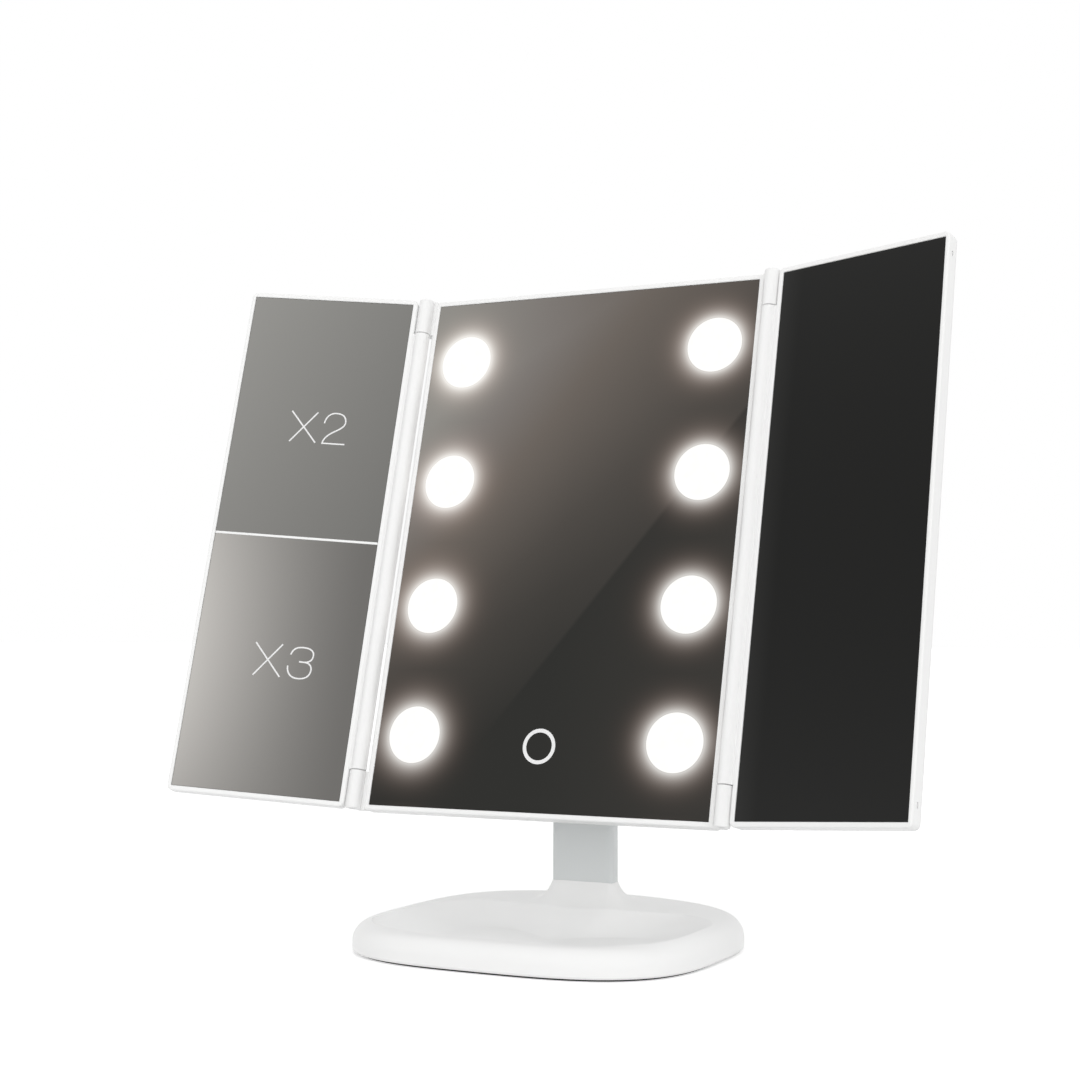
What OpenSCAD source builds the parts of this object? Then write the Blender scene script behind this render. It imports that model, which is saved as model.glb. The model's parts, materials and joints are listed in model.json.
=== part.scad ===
// Trifold vanity mirror: a lit centre panel with two folding wings, on a stem that tilts,
// over a base whose top is a small tray. Origin: floor, at the middle of the base's footprint.
// +X is the viewer's right, +Y is away from the viewer, +Z is up. Millimetres.

/* [Mirror panels] */
// Width of the centre glass
glass_w = 154; // [130:1:190]
// Height of every glass
glass_h = 229; // [190:1:275]
// Thickness of every glass
glass_t = 1.8; // [1.5:0.1:2.2]
// Thickness of the foam tape behind every glass
tape_t = 0.6; // [0.4:0.1:0.8]
// Gap round each glass in its pocket
glass_fit = 0.1; // [0.05:0.05:0.2]
// How far the rims stand proud of the glass
rim_proud = 0.35; // [0.2:0.05:0.5]
// Side rim of the centre frame
side_rim = 2.7; // [2.2:0.1:4]
// Top and bottom rim of every frame
end_rim = 2.35; // [2:0.05:4]
// Depth of the centre frame behind the glass face
frame_d = 7; // [6:0.5:9]

/* [Wings] */
// Rim at a wing's free edge
wing_rim = 1.9; // [1.5:0.1:3]
// Rim at a wing's hinged edge
wing_inner_rim = 2.38; // [2:0.02:4]
// Thickness of a wing, glass face to back
wing_t = 6.33; // [5.8:0.01:8]
// Thickness of a wing's back cover
wing_cover_t = 1.4; // [1.2:0.1:2]
// Forward fold of the left wing as it stands, from level with the centre
left_fold = 17.5; // [0:0.5:60]
// Forward fold of the right wing as it stands
right_fold = 14.5; // [0:0.5:60]
// Gap between the two free edges when both wings are shut
meet_gap = 0.54; // [0.4:0.02:2]
// Gap between the glass faces when a wing is shut
closed_gap = 1.34; // [1.2:0.02:3]
// White bar between the left wing's two glasses
divider_w = 1.1; // [0.8:0.1:2]
// Width of the printed strokes
stroke_w = 0.65; // [0.5:0.05:1]

/* [Hinges] */
// Radius of the hinge barrels
knuckle_r = 3.43; // [3:0.01:4.5]
// Distance of the hinge axis in front of the centre glass
hinge_fwd = 2.07; // [1.9:0.01:3]
// Gap between a barrel and the panel beside it
knuckle_side_gap = 0.3; // [0.25:0.05:0.6]
// Gap between a wing's edge and the end barrels
wing_side_gap = 0.45; // [0.35:0.05:0.8]
// Length of each end barrel
end_knuckle = 16.4; // [12:0.1:25]
// Gap between two barrels on one axis
knuckle_gap = 0.25; // [0.2:0.05:0.5]
// Radius of the hinge pins
pin_r = 1; // [0.8:0.1:1.5]
// Depth of each pin in the wing's barrel
pin_in = 12; // [8:1:20]
// Running clearance round every pin and shaft
run_fit = 0.05; // [0.02:0.01:0.1]

/* [Lights] */
// Radius of the round light windows
window_r = 12.2; // [8:0.1:13]
// Distance of the windows' centres from the glass's side edge
light_edge = 17.4; // [16.7:0.1:30]
// Distance of the top windows from the glass's top edge
light_top = 28.3; // [20:0.1:40]
// Distance of the bottom windows from the glass's bottom edge
light_bottom = 30.6; // [20:0.1:40]
// Thickness of a diffuser
diffuser_t = 1.6; // [1.2:0.1:2]
// Thickness of every circuit board
board_t = 1; // [0.8:0.1:1.6]
// Height of the touch ring's centre above the glass's bottom edge
touch_z = 27.3; // [20:0.1:40]
// Outer radius of the touch ring
ring_r = 7.4; // [6:0.1:10]
// Width of the touch ring's line
ring_line = 1.6; // [1:0.1:2.5]

/* [Housing and cells] */
// Distance of the deep part of the housing from the frame's sides
deck_side = 8.7; // [6:0.1:14]
// Distance of the deep part from the frame's top and bottom
deck_end = 8.8; // [6:0.1:14]
// Wall of the housing
housing_wall = 1.8; // [1.5:0.1:2.5]
// Radius of a battery cell
cell_r = 5.25; // [5:0.05:5.5]
// Length of a battery cell over its nub
cell_l = 44.5; // [43:0.5:46]
// Height of the battery box's floor above the tilt axis
cells_z = 40; // [36:0.5:44]
// Thickness of the battery door
door_t = 1.5; // [1.2:0.1:2]

/* [Tilt and stem] */
// Backward lean of the head as it stands
lean = 15.07; // [0:0.01:60]
// Height of the tilt axis above the floor
pivot_z = 161.88; // [150:0.1:200]
// Radius of the tilt shaft
shaft_r = 2.5; // [2:0.1:3]
// Radius of the barrel at the stem's top
barrel_r = 4.6; // [4.2:0.1:6.5]
// Width of the stem
stem_w = 28.8; // [22:0.2:40]
// Thickness of the stem
stem_t = 7.4; // [6:0.1:8.2]
// Radius of the stem's long edges
stem_edge = 2.2; // [1:0.1:2.8]
// Thickness of the friction washers
washer_t = 0.75; // [0.5:0.05:1.5]

/* [Base] */
// Width of the base
base_w = 151.7; // [130:0.1:190]
// Depth of the base
base_d = 130.2; // [115:0.1:160]
// Squareness of the base's outline
base_n = 3.1; // [2.4:0.1:4]
// Height of the base's rim
rim_z = 12.7; // [12:0.1:16]
// Width of the rim round the front and sides
rim_w = 9.3; // [8.5:0.1:14]
// Distance of the stem's middle behind the middle of the base
stem_y = 34.48; // [30:0.01:38]
// Height at which the stem enters the base
socket_z = 24; // [22:0.5:30]
// Height of the tray's floor
tray_floor_z = 3.9; // [3.6:0.1:6]
// Distance over which the tray's wall slopes down to its floor
tray_run = 24; // [8:0.5:26]
// Width of the rounded outer edge of the base
crest_inset = 7.2; // [4:0.1:8]
// Height of the rounded outer edge of the base
crest_drop = 8; // [4:0.1:9]
// Height of the rubber ring under the base
foot_h = 1; // [0.8:0.1:1.2]
// Gap round the stem in its socket
socket_fit = 0.1; // [0.05:0.05:0.2]

/* [Hidden] */
$fn = 64;
// overlap that makes two stretches one solid
eps = 0.01;
// how far a cut runs past the face that it opens
over = 1;

// centre panel
frame_hw = glass_w / 2 + side_rim;
frame_hh = glass_h / 2 + end_rim;
frame_corner = 1.5;
frame_floor_t = 1.4;
floor_y = glass_t + tape_t;
floor_back = floor_y + frame_floor_t;
frame_wall = side_rim - glass_fit;
inner_corner = 1;
tape_w = 3.5;
tape_inset = 0.4;
print_t = 0.08;

// wings
hinge_x = frame_hw + knuckle_side_gap + knuckle_r;
wing_x0 = knuckle_r + wing_side_gap;
wing_x1 = hinge_x - meet_gap / 2;
wing_glass_x0 = wing_x0 + wing_inner_rim;
wing_glass_x1 = wing_x1 - wing_rim;
wing_face_y = closed_gap - hinge_fwd;
wing_front_y = wing_face_y - rim_proud;
wing_floor_y = wing_face_y + glass_t + tape_t;
wing_back_y = wing_face_y + wing_t;
wing_cover_y = wing_back_y - wing_cover_t;
wing_corner = 2.5;
ledge_t = 1;
ledge_w = 3.2;
wing_tape_inset = 0.3;
rib_half_t = 0.6;
rib_end_gap = 8;
divider_proud = 0.15;

// hinges
knuckle_z = frame_hh - end_knuckle;
pin_end_gap = 0.5;
web_step = 1.45;
web_t = 4.4;
web_in = frame_hw - 1;
web_out = hinge_x + 0.5;

// the snap catch near each end of a wing's free edge: a hook of the cover in a slot of the frame
catch_z = frame_hh - 8.8;
catch_w = 2.2;
catch_slot_t = 1;
catch_slot_y = wing_floor_y - 0.2;
hook_t = 1.2;
hook_inset = 0.2;
hook_reach = 1.5;
hook_tip_t = 0.7;
hook_room = 0.3;
hook_side_gap = 0.1;

// lights: two columns of windows, and each window has a diffuser of its own
light_rows = 4;
light_x = glass_w / 2 - light_edge;
light_pitch = (glass_h - light_top - light_bottom) / (light_rows - 1);
function light_z(row) = glass_h / 2 - light_top - row * light_pitch;
etch_t = 0.3;
diffuser_r = window_r + 0.3;
light_hole_r = diffuser_r + 0.2;
cup_wall = 0.8;
cup_flange_r = diffuser_r + 1.5;
cup_flange_t = 0.8;
cup_mouth_r = 5.6;
cup_mouth_wall = 1.4;
cup_back = floor_back + 3.4;
cup_y0 = glass_t + diffuser_t;
led_board_hw = 7;
led_board_end = 14;
chip_hw = 2.5;
chip_t = 0.8;
touch_y = -glass_h / 2 + touch_z;
sensor_t = 0.4;

// cells and battery door; the housing's back is as deep as the cells need
cell_floor = 1.2;
cell_slack = 0.2;
cell_spare = 5.9;
cell_pitch = 2 * cell_r + 0.7;
cell_y = floor_back + cell_floor + cell_r;
nub_r = 1.9;
nub_h = 1.2;
cell_box_hw = 2 * cell_pitch + 0.4;
cell_box_l = cell_l + cell_spare;
cell_box_wall = 1.4;
back_y = cell_y + cell_r + cell_slack + door_t;
door_gap = 0.3;
door_hw = cell_box_hw + cell_box_wall;
door_z0 = cells_z - cell_box_wall;
door_z1 = cells_z + cell_box_l + cell_box_wall;
door_pin_r = 0.5;
door_pin_l = 1;
door_axis_y = back_y - door_t / 2;
door_axis_z = door_z0 + door_t / 2 + door_gap;
grip_hw = 9;
grip_h = 0.4;
grip_pitch = 2;
contact_hw = 4;
contact_t = 0.4;
contact_h = 2.9;
contact_r0 = 3.4;
contact_r1 = 1.7;

// housing
deck_hw = frame_hw - deck_side;
deck_hh = frame_hh - deck_end;
deck_r = 12;
deck_in = back_y - housing_wall;
flange_t = 1.6;
flange_inset = 0.4;
spigot_gap = 0.15;
spigot_wall = 1.2;
spigot_h = 1.4;
screw_r = 1.3;
screw_head_r = 2.6;
screw_head_t = 1.8;
screw_play = 0.15;
screw_x = deck_hw - 25;
screw_z = deck_hh - 9;
screw_post_r = 3.1;
well_y = floor_back + 6;
well_floor_t = 1.4;
well_r = 4.2;

// control board, switch and socket
ctrl_y = floor_back + 6.2;
ctrl_back = ctrl_y + board_t;
ctrl_x0 = -26;
ctrl_x1 = 40;
ctrl_z0 = -deck_hh + 3;
ctrl_z1 = ctrl_z0 + 39;
board_hole_in = 3;
board_post_r = 2.4;
board_screw_r = 1;
board_head_r = 2;
board_head_t = 1.2;
switch_x = -16;
switch_z = ctrl_z0 + 21;
switch_hw = 4.6;
switch_hh = 2.2;
switch_body_t = 3.6;
switch_travel = 3;
knob_w = 5;
knob_h = 2.8;
knob_gap = 0.3;
knob_proud = 0.4;
knob_rib = 0.6;
knob_rib_pitch = 1.2;
usb_x = 30;
usb_hw = 3.75;
usb_t = 2.6;
usb_l = 5.6;
usb_wall = 0.35;
usb_gap = 0.3;
usb_end_z = -deck_hh + 0.2;
ribbon_t = 0.6;
ribbon_w = 6;

// tilt joint and stem
barrel_gap = 0.4;
ear_r = barrel_r + barrel_gap;
pivot_back = back_y + ear_r;
ear_gap = 0.05;
ear_x0 = stem_w / 2 + ear_gap + washer_t;
ear_t = 3;
ear_x1 = ear_x0 + ear_t;
ear_foot_w = 18;
ear_foot_t = 2.2;
ear_foot_hz = 13;
ear_screw_x = ear_x1 + 8.5;
ear_screw_z = 8.5;
ear_post_l = 5;
shaft_head_r = 4.2;
shaft_head_t = 2.6;
nut_r = 4.6;
nut_t = 3.4;
nut_room = 0.3;
washer_r = 4.4;
stem_foot_z = 10;
stem_screw_x = 7;
stem_screw_r = 1.5;
stem_head_r = 2.7;
stem_head_t = 2;
stem_screw_l = 11;

// base
base_wall = 2.2;
cover_t = 1.2;
cover_z = foot_h + cover_t;
cover_inset = 1.9;
cover_fit = 0.1;
foot_inset = 2.6;
foot_w = 6;
boss_bite = 0.2;
tray_wall = 1.9;
tray_hw = base_w / 2 - rim_w;
tray_front = base_d / 2 - rim_w;
tray_back = stem_y + 5.5;
tray_hd = (tray_front + tray_back) / 2;
tray_mid = [0, (tray_back - tray_front) / 2];
tray_n = 3.5;
tray_dent = 18.3;
tray_dent_w = 43;
tray_reach = 0.85;
lip_drop = 0.5;
lip_step = [0.5, 0.5];
mound_h = 3.8;
mound_y = stem_y + 13.3;
mound_wx = 55;
mound_wy = 20;
fillet_w = 3.5;
skirt_step = [0.6, 0.9];
socket_wall = 2.5;
socket_floor_t = 3;
socket_z0 = stem_foot_z - socket_floor_t;
boss_r = 3.2;
boss_front = [base_w / 2 - 17.5, -base_d / 2 + 20];
boss_back = [base_w / 2 - 27, base_d / 2 - 14];
base_screw_r = 1.3;
base_screw_end = 8;
base_head_r = 2.6;
base_head_z = 0.2;
ballast_hw = boss_back[0] - 10.85;
ballast_h = 6.4;
ballast_y0 = stem_y + stem_t / 2 + socket_wall + 2;
ballast_y1 = base_d / 2 - 10.42;

// ---------------------------------------------------------------- colours
white = [0.95, 0.95, 0.95];
grey_white = [0.82, 0.83, 0.83];
dark_mirror = [0.25, 0.24, 0.23];
pale_mirror = [0.5, 0.5, 0.49];
steel = [0.7, 0.71, 0.72];
rubber = [0.12, 0.12, 0.12];
fibre = [0.3, 0.3, 0.3];
board_green = [0.1, 0.35, 0.2];
warm_light = [1, 0.97, 0.88];

// ---------------------------------------------------------------- places
// head frame: x right, y away from the viewer, z up along the glass, from the glass's middle
module on_head() {
    translate([0, stem_y, pivot_z]) rotate([-lean, 0, 0]) translate([0, -pivot_back, 0]) children();
}

// wing frame: x outward from the hinge axis, y back, z up; the left wing is the mirror image
module on_wing(side, fold) {
    on_head() translate([side * hinge_x, -hinge_fwd, 0]) rotate([0, 0, -side * fold])
        if (side > 0) children(); else mirror([1, 0, 0]) children();
}
module on_left_wing() { on_wing(-1, left_fold) children(); }
module on_right_wing() { on_wing(1, right_fold) children(); }

module at(x, z) { translate([x, 0, z]) children(); }
module at_lights() {
    for (side = [-1, 1], row = [0 : light_rows - 1]) at(side * light_x, light_z(row)) children();
}
module at_housing_screws() {
    for (side = [-1, 1], z = [-screw_z, 0, screw_z]) at(side * screw_x, z) children();
}
module at_board_screws() {
    for (x = [ctrl_x0, ctrl_x1], z = [ctrl_z0, ctrl_z1])
        at(x + (x < ctrl_x1 ? 1 : -1) * board_hole_in, z + (z < ctrl_z1 ? 1 : -1) * board_hole_in) children();
}
module at_ear_screws() {
    for (side = [-1, 1], z = [-ear_screw_z, ear_screw_z]) at(side * ear_screw_x, z) children();
}
module at_base_screws() {
    for (side = [-1, 1], p = [boss_front, boss_back]) translate([side * p[0], p[1], 0]) children();
}
module at_stem_screws() {
    for (side = [-1, 1]) translate([side * stem_screw_x, stem_y, 0]) children();
}
module both_ends() { for (end = [0, 1]) mirror([0, 0, end]) children(); }

// ---------------------------------------------------------------- plain shapes
module round_rect(hw, hh, r) {
    square([2 * hw - 2 * r, 2 * hh], center = true);
    square([2 * hw, 2 * hh - 2 * r], center = true);
    for (sx = [-1, 1], sz = [-1, 1]) translate([sx * (hw - r), sz * (hh - r)]) circle(r);
}

// a plate parallel to the glass, between two depths
module slab(hw, hh, r, y0, y1) {
    translate([0, y1, 0]) rotate([90, 0, 0]) linear_extrude(y1 - y0)
        if (r > 0) round_rect(hw, hh, r); else square([2 * hw, 2 * hh], center = true);
}

// a plate parallel to a wing's glass, between two depths and two distances from the axis
module wing_slab(x0, x1, hh, r, y0, y1) {
    translate([(x0 + x1) / 2, 0, 0]) slab((x1 - x0) / 2, hh, r, y0, y1);
}

module tape_ring(x0, x1, hh, w, y0, y1) {
    difference() {
        wing_slab(x0, x1, hh, 0, y0, y1);
        wing_slab(x0 + w, x1 - w, hh - w, 0, y0 - over, y1 + over);
    }
}

module block(x0, x1, y0, y1, z0, z1) {
    translate([x0, y0, z0]) cube([x1 - x0, y1 - y0, z1 - z0]);
}

// a cylinder square to the glass, between two depths
module post(r, y0, y1) { translate([0, y1, 0]) rotate([90, 0, 0]) cylinder(h = y1 - y0, r = r); }

// a cylinder along X, between two distances
module axle(x0, x1, y, z, r) { translate([x0, y, z]) rotate([0, 90, 0]) cylinder(h = x1 - x0, r = r); }

// a cylinder along Z, between two heights
module rod(z0, z1, r) { translate([0, 0, z0]) cylinder(h = z1 - z0, r = r); }

// ---------------------------------------------------------------- base outline and surface
ring_points = 72;
angles = [for (i = [0 : ring_points - 1]) 360 * i / ring_points];
function mix(p, q, t) = p + (q - p) * t;
function toward(p, c, d) = p - (p - c) / norm(p - c) * d;

// a rounded square's point in the direction of an angle
function oval_pt(a, hw, hd, n) =
    pow(pow(abs(cos(a)) / hw, n) + pow(abs(sin(a)) / hd, n), -1 / n) * [cos(a), sin(a)];

// the outer edge, drawn in by an inset
function base_pt(a, inset) = oval_pt(a, base_w / 2 - inset, base_d / 2 - inset, base_n);
// the tray's lip, whose back bows forward round the stem
function lip_pt(a) = let (
    p = oval_pt(a, tray_hw, tray_hd, tray_n),
    dent = tray_dent * exp(-pow(p[0] / tray_dent_w, 2)) * pow(max(0, p[1] / tray_hd), 2))
    tray_mid + p - [0, dent];

// height that the broad mound and the socket's fillet add to the rim
function stem_gap(p) = norm([max(0, abs(p[0]) - stem_w / 2 - socket_fit),
                             max(0, abs(p[1] - stem_y) - stem_t / 2 - socket_fit)]);
function mound(p) = mound_h * exp(-pow(p[0] / mound_wx, 2) - pow((p[1] - mound_y) / mound_wy, 2));
function rise(p) = let (m = mound(p))
    m + (socket_z - rim_z - m) * exp(-stem_gap(p) / fillet_w);

// rings from the underside's edge, up the wall, over the rim, down the tray's wall to its floor
function wall_ring(inset, z) = [for (a = angles) let (p = base_pt(a, inset)) [p[0], p[1], z]];
function edge_ring(t) = [for (a = angles) let (
    p = base_pt(a, crest_inset * (1 - cos(90 * t))),
    top = rim_z + rise(base_pt(a, crest_inset)))
    [p[0], p[1], top - crest_drop * (1 - sin(90 * t))]];
function rim_ring(t) = [for (a = angles) let (p = mix(base_pt(a, crest_inset), lip_pt(a), t))
    [p[0], p[1], rim_z + rise(p) - lip_drop * pow(t, 6)]];
function tray_ring(t) = [for (a = angles) let (
    lip = lip_pt(a),
    lip_z = rim_z + rise(lip) - lip_drop - lip_step[1],
    run = min(tray_run, tray_reach * norm(lip - tray_mid) - lip_step[0]),
    p = toward(lip, tray_mid, lip_step[0] + run * t))
    [p[0], p[1], tray_floor_z + (lip_z - tray_floor_z) * pow(1 - t, 2)]];
rings = concat([wall_ring(skirt_step[0], foot_h), wall_ring(0, foot_h + skirt_step[1])],
    [for (t = [0 : 0.2 : 0.8]) edge_ring(t)],
    [for (t = [0, 0.12, 0.25, 0.38, 0.5, 0.62, 0.74, 0.87, 1]) rim_ring(t)],
    [for (t = [0 : 0.2 : 1]) tray_ring(t)]);

module base_body() {
    n = ring_points;
    last = len(rings) - 1;
    floor_centre = (last + 1) * n;
    points = concat([for (ring = rings) each ring],
        [[tray_mid[0], tray_mid[1], tray_floor_z], [0, 0, foot_h]]);
    sides = [for (j = [0 : last - 1], i = [0 : n - 1]) let (
        a = j * n + i,
        b = j * n + (i + 1) % n)
        each [[a, a + n, b], [b, a + n, b + n]]];
    top = [for (i = [0 : n - 1]) [last * n + i, floor_centre, last * n + (i + 1) % n]];
    bottom = [for (i = [0 : n - 1]) [i, (i + 1) % n, floor_centre + 1]];
    polyhedron(points, concat(sides, top, bottom));
}

module base_outline(inset) { polygon([for (a = angles) base_pt(a, inset)]); }
module lip_outline(grow) { polygon([for (a = angles) toward(lip_pt(a), tray_mid, -grow)]); }

// ---------------------------------------------------------------- base and stem
// the room inside, in steps that follow the rounded edge outside and the tray's slope inside
function cavity_z(turn) = rim_z - crest_drop + (crest_drop - base_wall) * sin(turn);
function cavity_inset(turn) = crest_inset - (crest_inset - base_wall) * cos(turn);
function slope_share(z) = (z - tray_floor_z) / (rim_z - lip_drop - lip_step[1] - tray_floor_z);
function cavity_reach(turn) = let (share = slope_share(cavity_z(turn) + tray_wall))
    share < 1 ? lip_step[0] + tray_run * (1 - sqrt(share)) : -tray_wall;
cavity_turns = [0, 20, 40, 60];
cavity_top = cavity_z(60);
module base_cavity() {
    for (turn = cavity_turns)
        translate([0, 0, cover_z]) linear_extrude(cavity_z(turn) - cover_z) difference() {
            base_outline(cavity_inset(turn));
            lip_outline(-cavity_reach(turn));
        }
}

// a block round the stem's foot, from the stem's section
module stem_block(grow, z0, z1) {
    hw = stem_w / 2 + grow;
    hd = stem_t / 2 + grow;
    block(-hw, hw, stem_y - hd, stem_y + hd, z0, z1);
}
module stem_prism(grow, z0, z1) {
    translate([0, stem_y, z0]) linear_extrude(z1 - z0)
        round_rect(stem_w / 2 + grow, stem_t / 2 + grow, stem_edge + grow);
}

module base_tray() color(white) difference() {
    union() {
        difference() {
            base_body();
            base_cavity();
        }
        at_base_screws() rod(cover_z, cavity_top + boss_bite, boss_r);
        stem_block(socket_wall, socket_z0, cavity_top + boss_bite);
    }
    translate([0, 0, foot_h - over]) linear_extrude(cover_t + over) base_outline(cover_inset - cover_fit);
    stem_prism(socket_fit, stem_foot_z, socket_z + over);
    stem_block(over, socket_z, socket_z + 20);
    at_base_screws() rod(0, base_screw_end, base_screw_r);
    at_stem_screws() rod(0, stem_foot_z + over, stem_screw_r);
}

module base_bottom_cover() color(grey_white) difference() {
    translate([0, 0, foot_h]) linear_extrude(cover_t) base_outline(cover_inset);
    at_base_screws() rod(foot_h - over, cover_z + over, base_screw_r + 0.1);
}

module foot_ring() color(rubber) linear_extrude(foot_h) difference() {
    base_outline(foot_inset);
    base_outline(foot_inset + foot_w);
    at_base_screws() circle(base_head_r + 0.5);
}

module ballast_bar() color(steel)
    block(-ballast_hw, ballast_hw, ballast_y0, ballast_y1, cover_z, cover_z + ballast_h);

module base_screws() color(steel) at_base_screws() {
    rod(base_head_z, foot_h, base_head_r);
    rod(foot_h - eps, base_screw_end, base_screw_r);
}

module stem() color(grey_white) difference() {
    union() {
        stem_prism(0, stem_foot_z, pivot_z);
        axle(-stem_w / 2, stem_w / 2, stem_y, pivot_z, barrel_r);
    }
    axle(-stem_w / 2 - over, stem_w / 2 + over, stem_y, pivot_z, shaft_r + run_fit);
    at_stem_screws() rod(0, stem_foot_z + stem_screw_l, stem_screw_r);
}

module stem_screws() color(steel) at_stem_screws() {
    rod(socket_z0 - stem_head_t, socket_z0, stem_head_r);
    rod(socket_z0 - eps, stem_foot_z + stem_screw_l - over, stem_screw_r);
}

// ---------------------------------------------------------------- centre panel
module end_knuckle_body(side) {
    z0 = knuckle_z + knuckle_gap / 2;
    translate([side * hinge_x, -hinge_fwd, 0]) rod(z0, frame_hh, knuckle_r);
    block(side > 0 ? web_in : -web_out, side > 0 ? web_out : -web_in,
        -hinge_fwd + web_step, -hinge_fwd + web_step + web_t, z0, frame_hh);
}

module centre_frame() color(white) on_head() difference() {
    union() {
        difference() {
            slab(frame_hw, frame_hh, frame_corner, -rim_proud, frame_d);
            slab(glass_w / 2 + glass_fit, glass_h / 2 + glass_fit, 0, -rim_proud - over, floor_y);
            slab(frame_hw - frame_wall, frame_hh - frame_wall, inner_corner, floor_back, frame_d + over);
        }
        for (side = [-1, 1]) both_ends() end_knuckle_body(side);
        at_housing_screws() post(screw_post_r, floor_back - 0.2, well_y);
        at_board_screws() post(board_post_r, floor_back - 0.2, ctrl_y);
    }
    at_lights() post(light_hole_r, floor_y - over, floor_back + over);
    at(0, touch_y) post(ring_r + 1, floor_y - over, floor_back + over);
    at_housing_screws() post(screw_r, floor_back + 0.6, well_y + over);
    at_board_screws() post(board_screw_r, floor_back + 0.6, ctrl_y + over);
    for (side = [-1, 1]) translate([side * hinge_x, -hinge_fwd, 0])
        rod(-frame_hh - over, frame_hh + over, pin_r);
}

module centre_glass() color(dark_mirror) on_head() difference() {
    slab(glass_w / 2, glass_h / 2, 0, 0, glass_t);
    at_lights() post(window_r, glass_t - etch_t, glass_t + over);
}

module centre_glass_tape() color(rubber) on_head() {
    hw = glass_w / 2 - tape_inset;
    tape_ring(-hw, hw, glass_h / 2 - tape_inset, tape_w, glass_t, floor_y);
}

// a diffuser is numbered down the left column, then down the right one
module diffuser(number) color(warm_light) on_head()
    at(number > light_rows ? light_x : -light_x, light_z((number - 1) % light_rows))
        post(diffuser_r, glass_t, glass_t + diffuser_t);

module reflector_cups() color(white) on_head() at_lights() {
    flange = floor_back - cup_y0;
    mouth = cup_back - cup_y0;
    translate([0, cup_y0, 0]) rotate([-90, 0, 0]) rotate_extrude()
        polygon([[diffuser_r - cup_wall, 0], [diffuser_r, 0], [diffuser_r, flange],
            [cup_flange_r, flange], [cup_flange_r, flange + cup_flange_t],
            [cup_mouth_r + cup_mouth_wall, mouth], [cup_mouth_r, mouth]]);
}

module led_board(side) color(board_green) on_head()
    at(side * light_x, 0) slab(led_board_hw, glass_h / 2 - led_board_end, 0, cup_back, cup_back + board_t);

module led_chips() color(warm_light) on_head() at_lights()
    block(-chip_hw, chip_hw, cup_back - chip_t, cup_back, -chip_hw, chip_hw);

module touch_ring() color(white) on_head() at(0, touch_y) difference() {
    post(ring_r, -print_t, 0);
    post(ring_r - ring_line, -over, over);
}

module touch_sensor() color("peru") on_head() at(0, touch_y) post(ring_r - 1, glass_t, glass_t + sensor_t);

module control_board() color(board_green) on_head() difference() {
    block(ctrl_x0, ctrl_x1, ctrl_y, ctrl_back, ctrl_z0, ctrl_z1);
    at_board_screws() post(board_screw_r + 0.1, ctrl_y - over, ctrl_back + over);
}

module board_screws() color(steel) on_head() at_board_screws() {
    post(board_head_r, ctrl_back, ctrl_back + board_head_t);
    post(board_screw_r, floor_back + 1.2, ctrl_back + eps);
}

// a block round the socket's section, grown or drawn in
module usb_block(grow, z0, z1) {
    block(usb_x - usb_hw - grow, usb_x + usb_hw + grow, ctrl_back - grow, ctrl_back + usb_t + grow, z0, z1);
}
module usb_socket() color(steel) on_head() difference() {
    usb_block(0, usb_end_z, usb_end_z + usb_l);
    usb_block(-usb_wall, usb_end_z - over, usb_end_z + usb_l - 1);
}

module slide_switch() color(rubber) on_head()
    block(switch_x - switch_hw, switch_x + switch_hw, ctrl_back, ctrl_back + switch_body_t,
        switch_z - switch_hh, switch_z + switch_hh);

// the knob rests at the end of its travel on the viewer's left
module switch_knob() color(white) on_head() {
    x = switch_x - switch_travel / 2;
    block(x - knob_w / 2, x + knob_w / 2, ctrl_back + switch_body_t + 0.2, back_y + knob_proud,
        switch_z - knob_h / 2, switch_z + knob_h / 2);
    for (i = [-1.5 : 1 : 1.5])
        block(x + i * knob_rib_pitch - knob_rib / 2, x + i * knob_rib_pitch + knob_rib / 2,
            back_y + knob_proud - 0.1, back_y + 2 * knob_proud, switch_z - knob_h / 2, switch_z + knob_h / 2);
}

// a flat lead from the control board to one strip of lamps: out along the board, forward, onto the strip
module lamp_ribbon(board_edge) {
    z0 = ctrl_z0 + 12;
    strip_edge = light_x - led_board_hw - 1;
    lamp_back = cup_back + board_t;
    block(board_edge, strip_edge + ribbon_t, ctrl_back, ctrl_back + ribbon_t, z0, z0 + ribbon_w);
    block(strip_edge, strip_edge + ribbon_t, lamp_back, ctrl_back + ribbon_t, z0, z0 + ribbon_w);
    block(strip_edge, strip_edge + ribbon_w, lamp_back, lamp_back + ribbon_t, z0, z0 + ribbon_w);
}

module wire_harness() color("white") on_head() {
    ribbon_in = 4;
    lamp_ribbon(ctrl_x1 - ribbon_in);
    mirror([1, 0, 0]) lamp_ribbon(-ctrl_x0 - ribbon_in);
    block(8, 8 + ribbon_w, ctrl_back, ctrl_back + ribbon_t, ctrl_z1 - 5, door_z0 - cell_box_wall);
}

// ---------------------------------------------------------------- rear housing and its fittings
module housing_shell() {
    difference() {
        union() {
            slab(frame_hw - flange_inset, frame_hh - flange_inset, frame_corner, frame_d, frame_d + flange_t);
            slab(deck_hw, deck_hh, deck_r, frame_d, back_y);
        }
        slab(deck_hw - housing_wall, deck_hh - housing_wall, deck_r - housing_wall, frame_d - over, deck_in);
    }
}

// the low wall that locates the housing inside the frame
module housing_spigot() {
    inset = frame_wall + spigot_gap;
    difference() {
        slab(frame_hw - inset, frame_hh - inset, inner_corner, frame_d - spigot_h, frame_d + 0.5);
        slab(frame_hw - inset - spigot_wall, frame_hh - inset - spigot_wall, inner_corner,
            frame_d - spigot_h - over, frame_d + over);
    }
}

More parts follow.
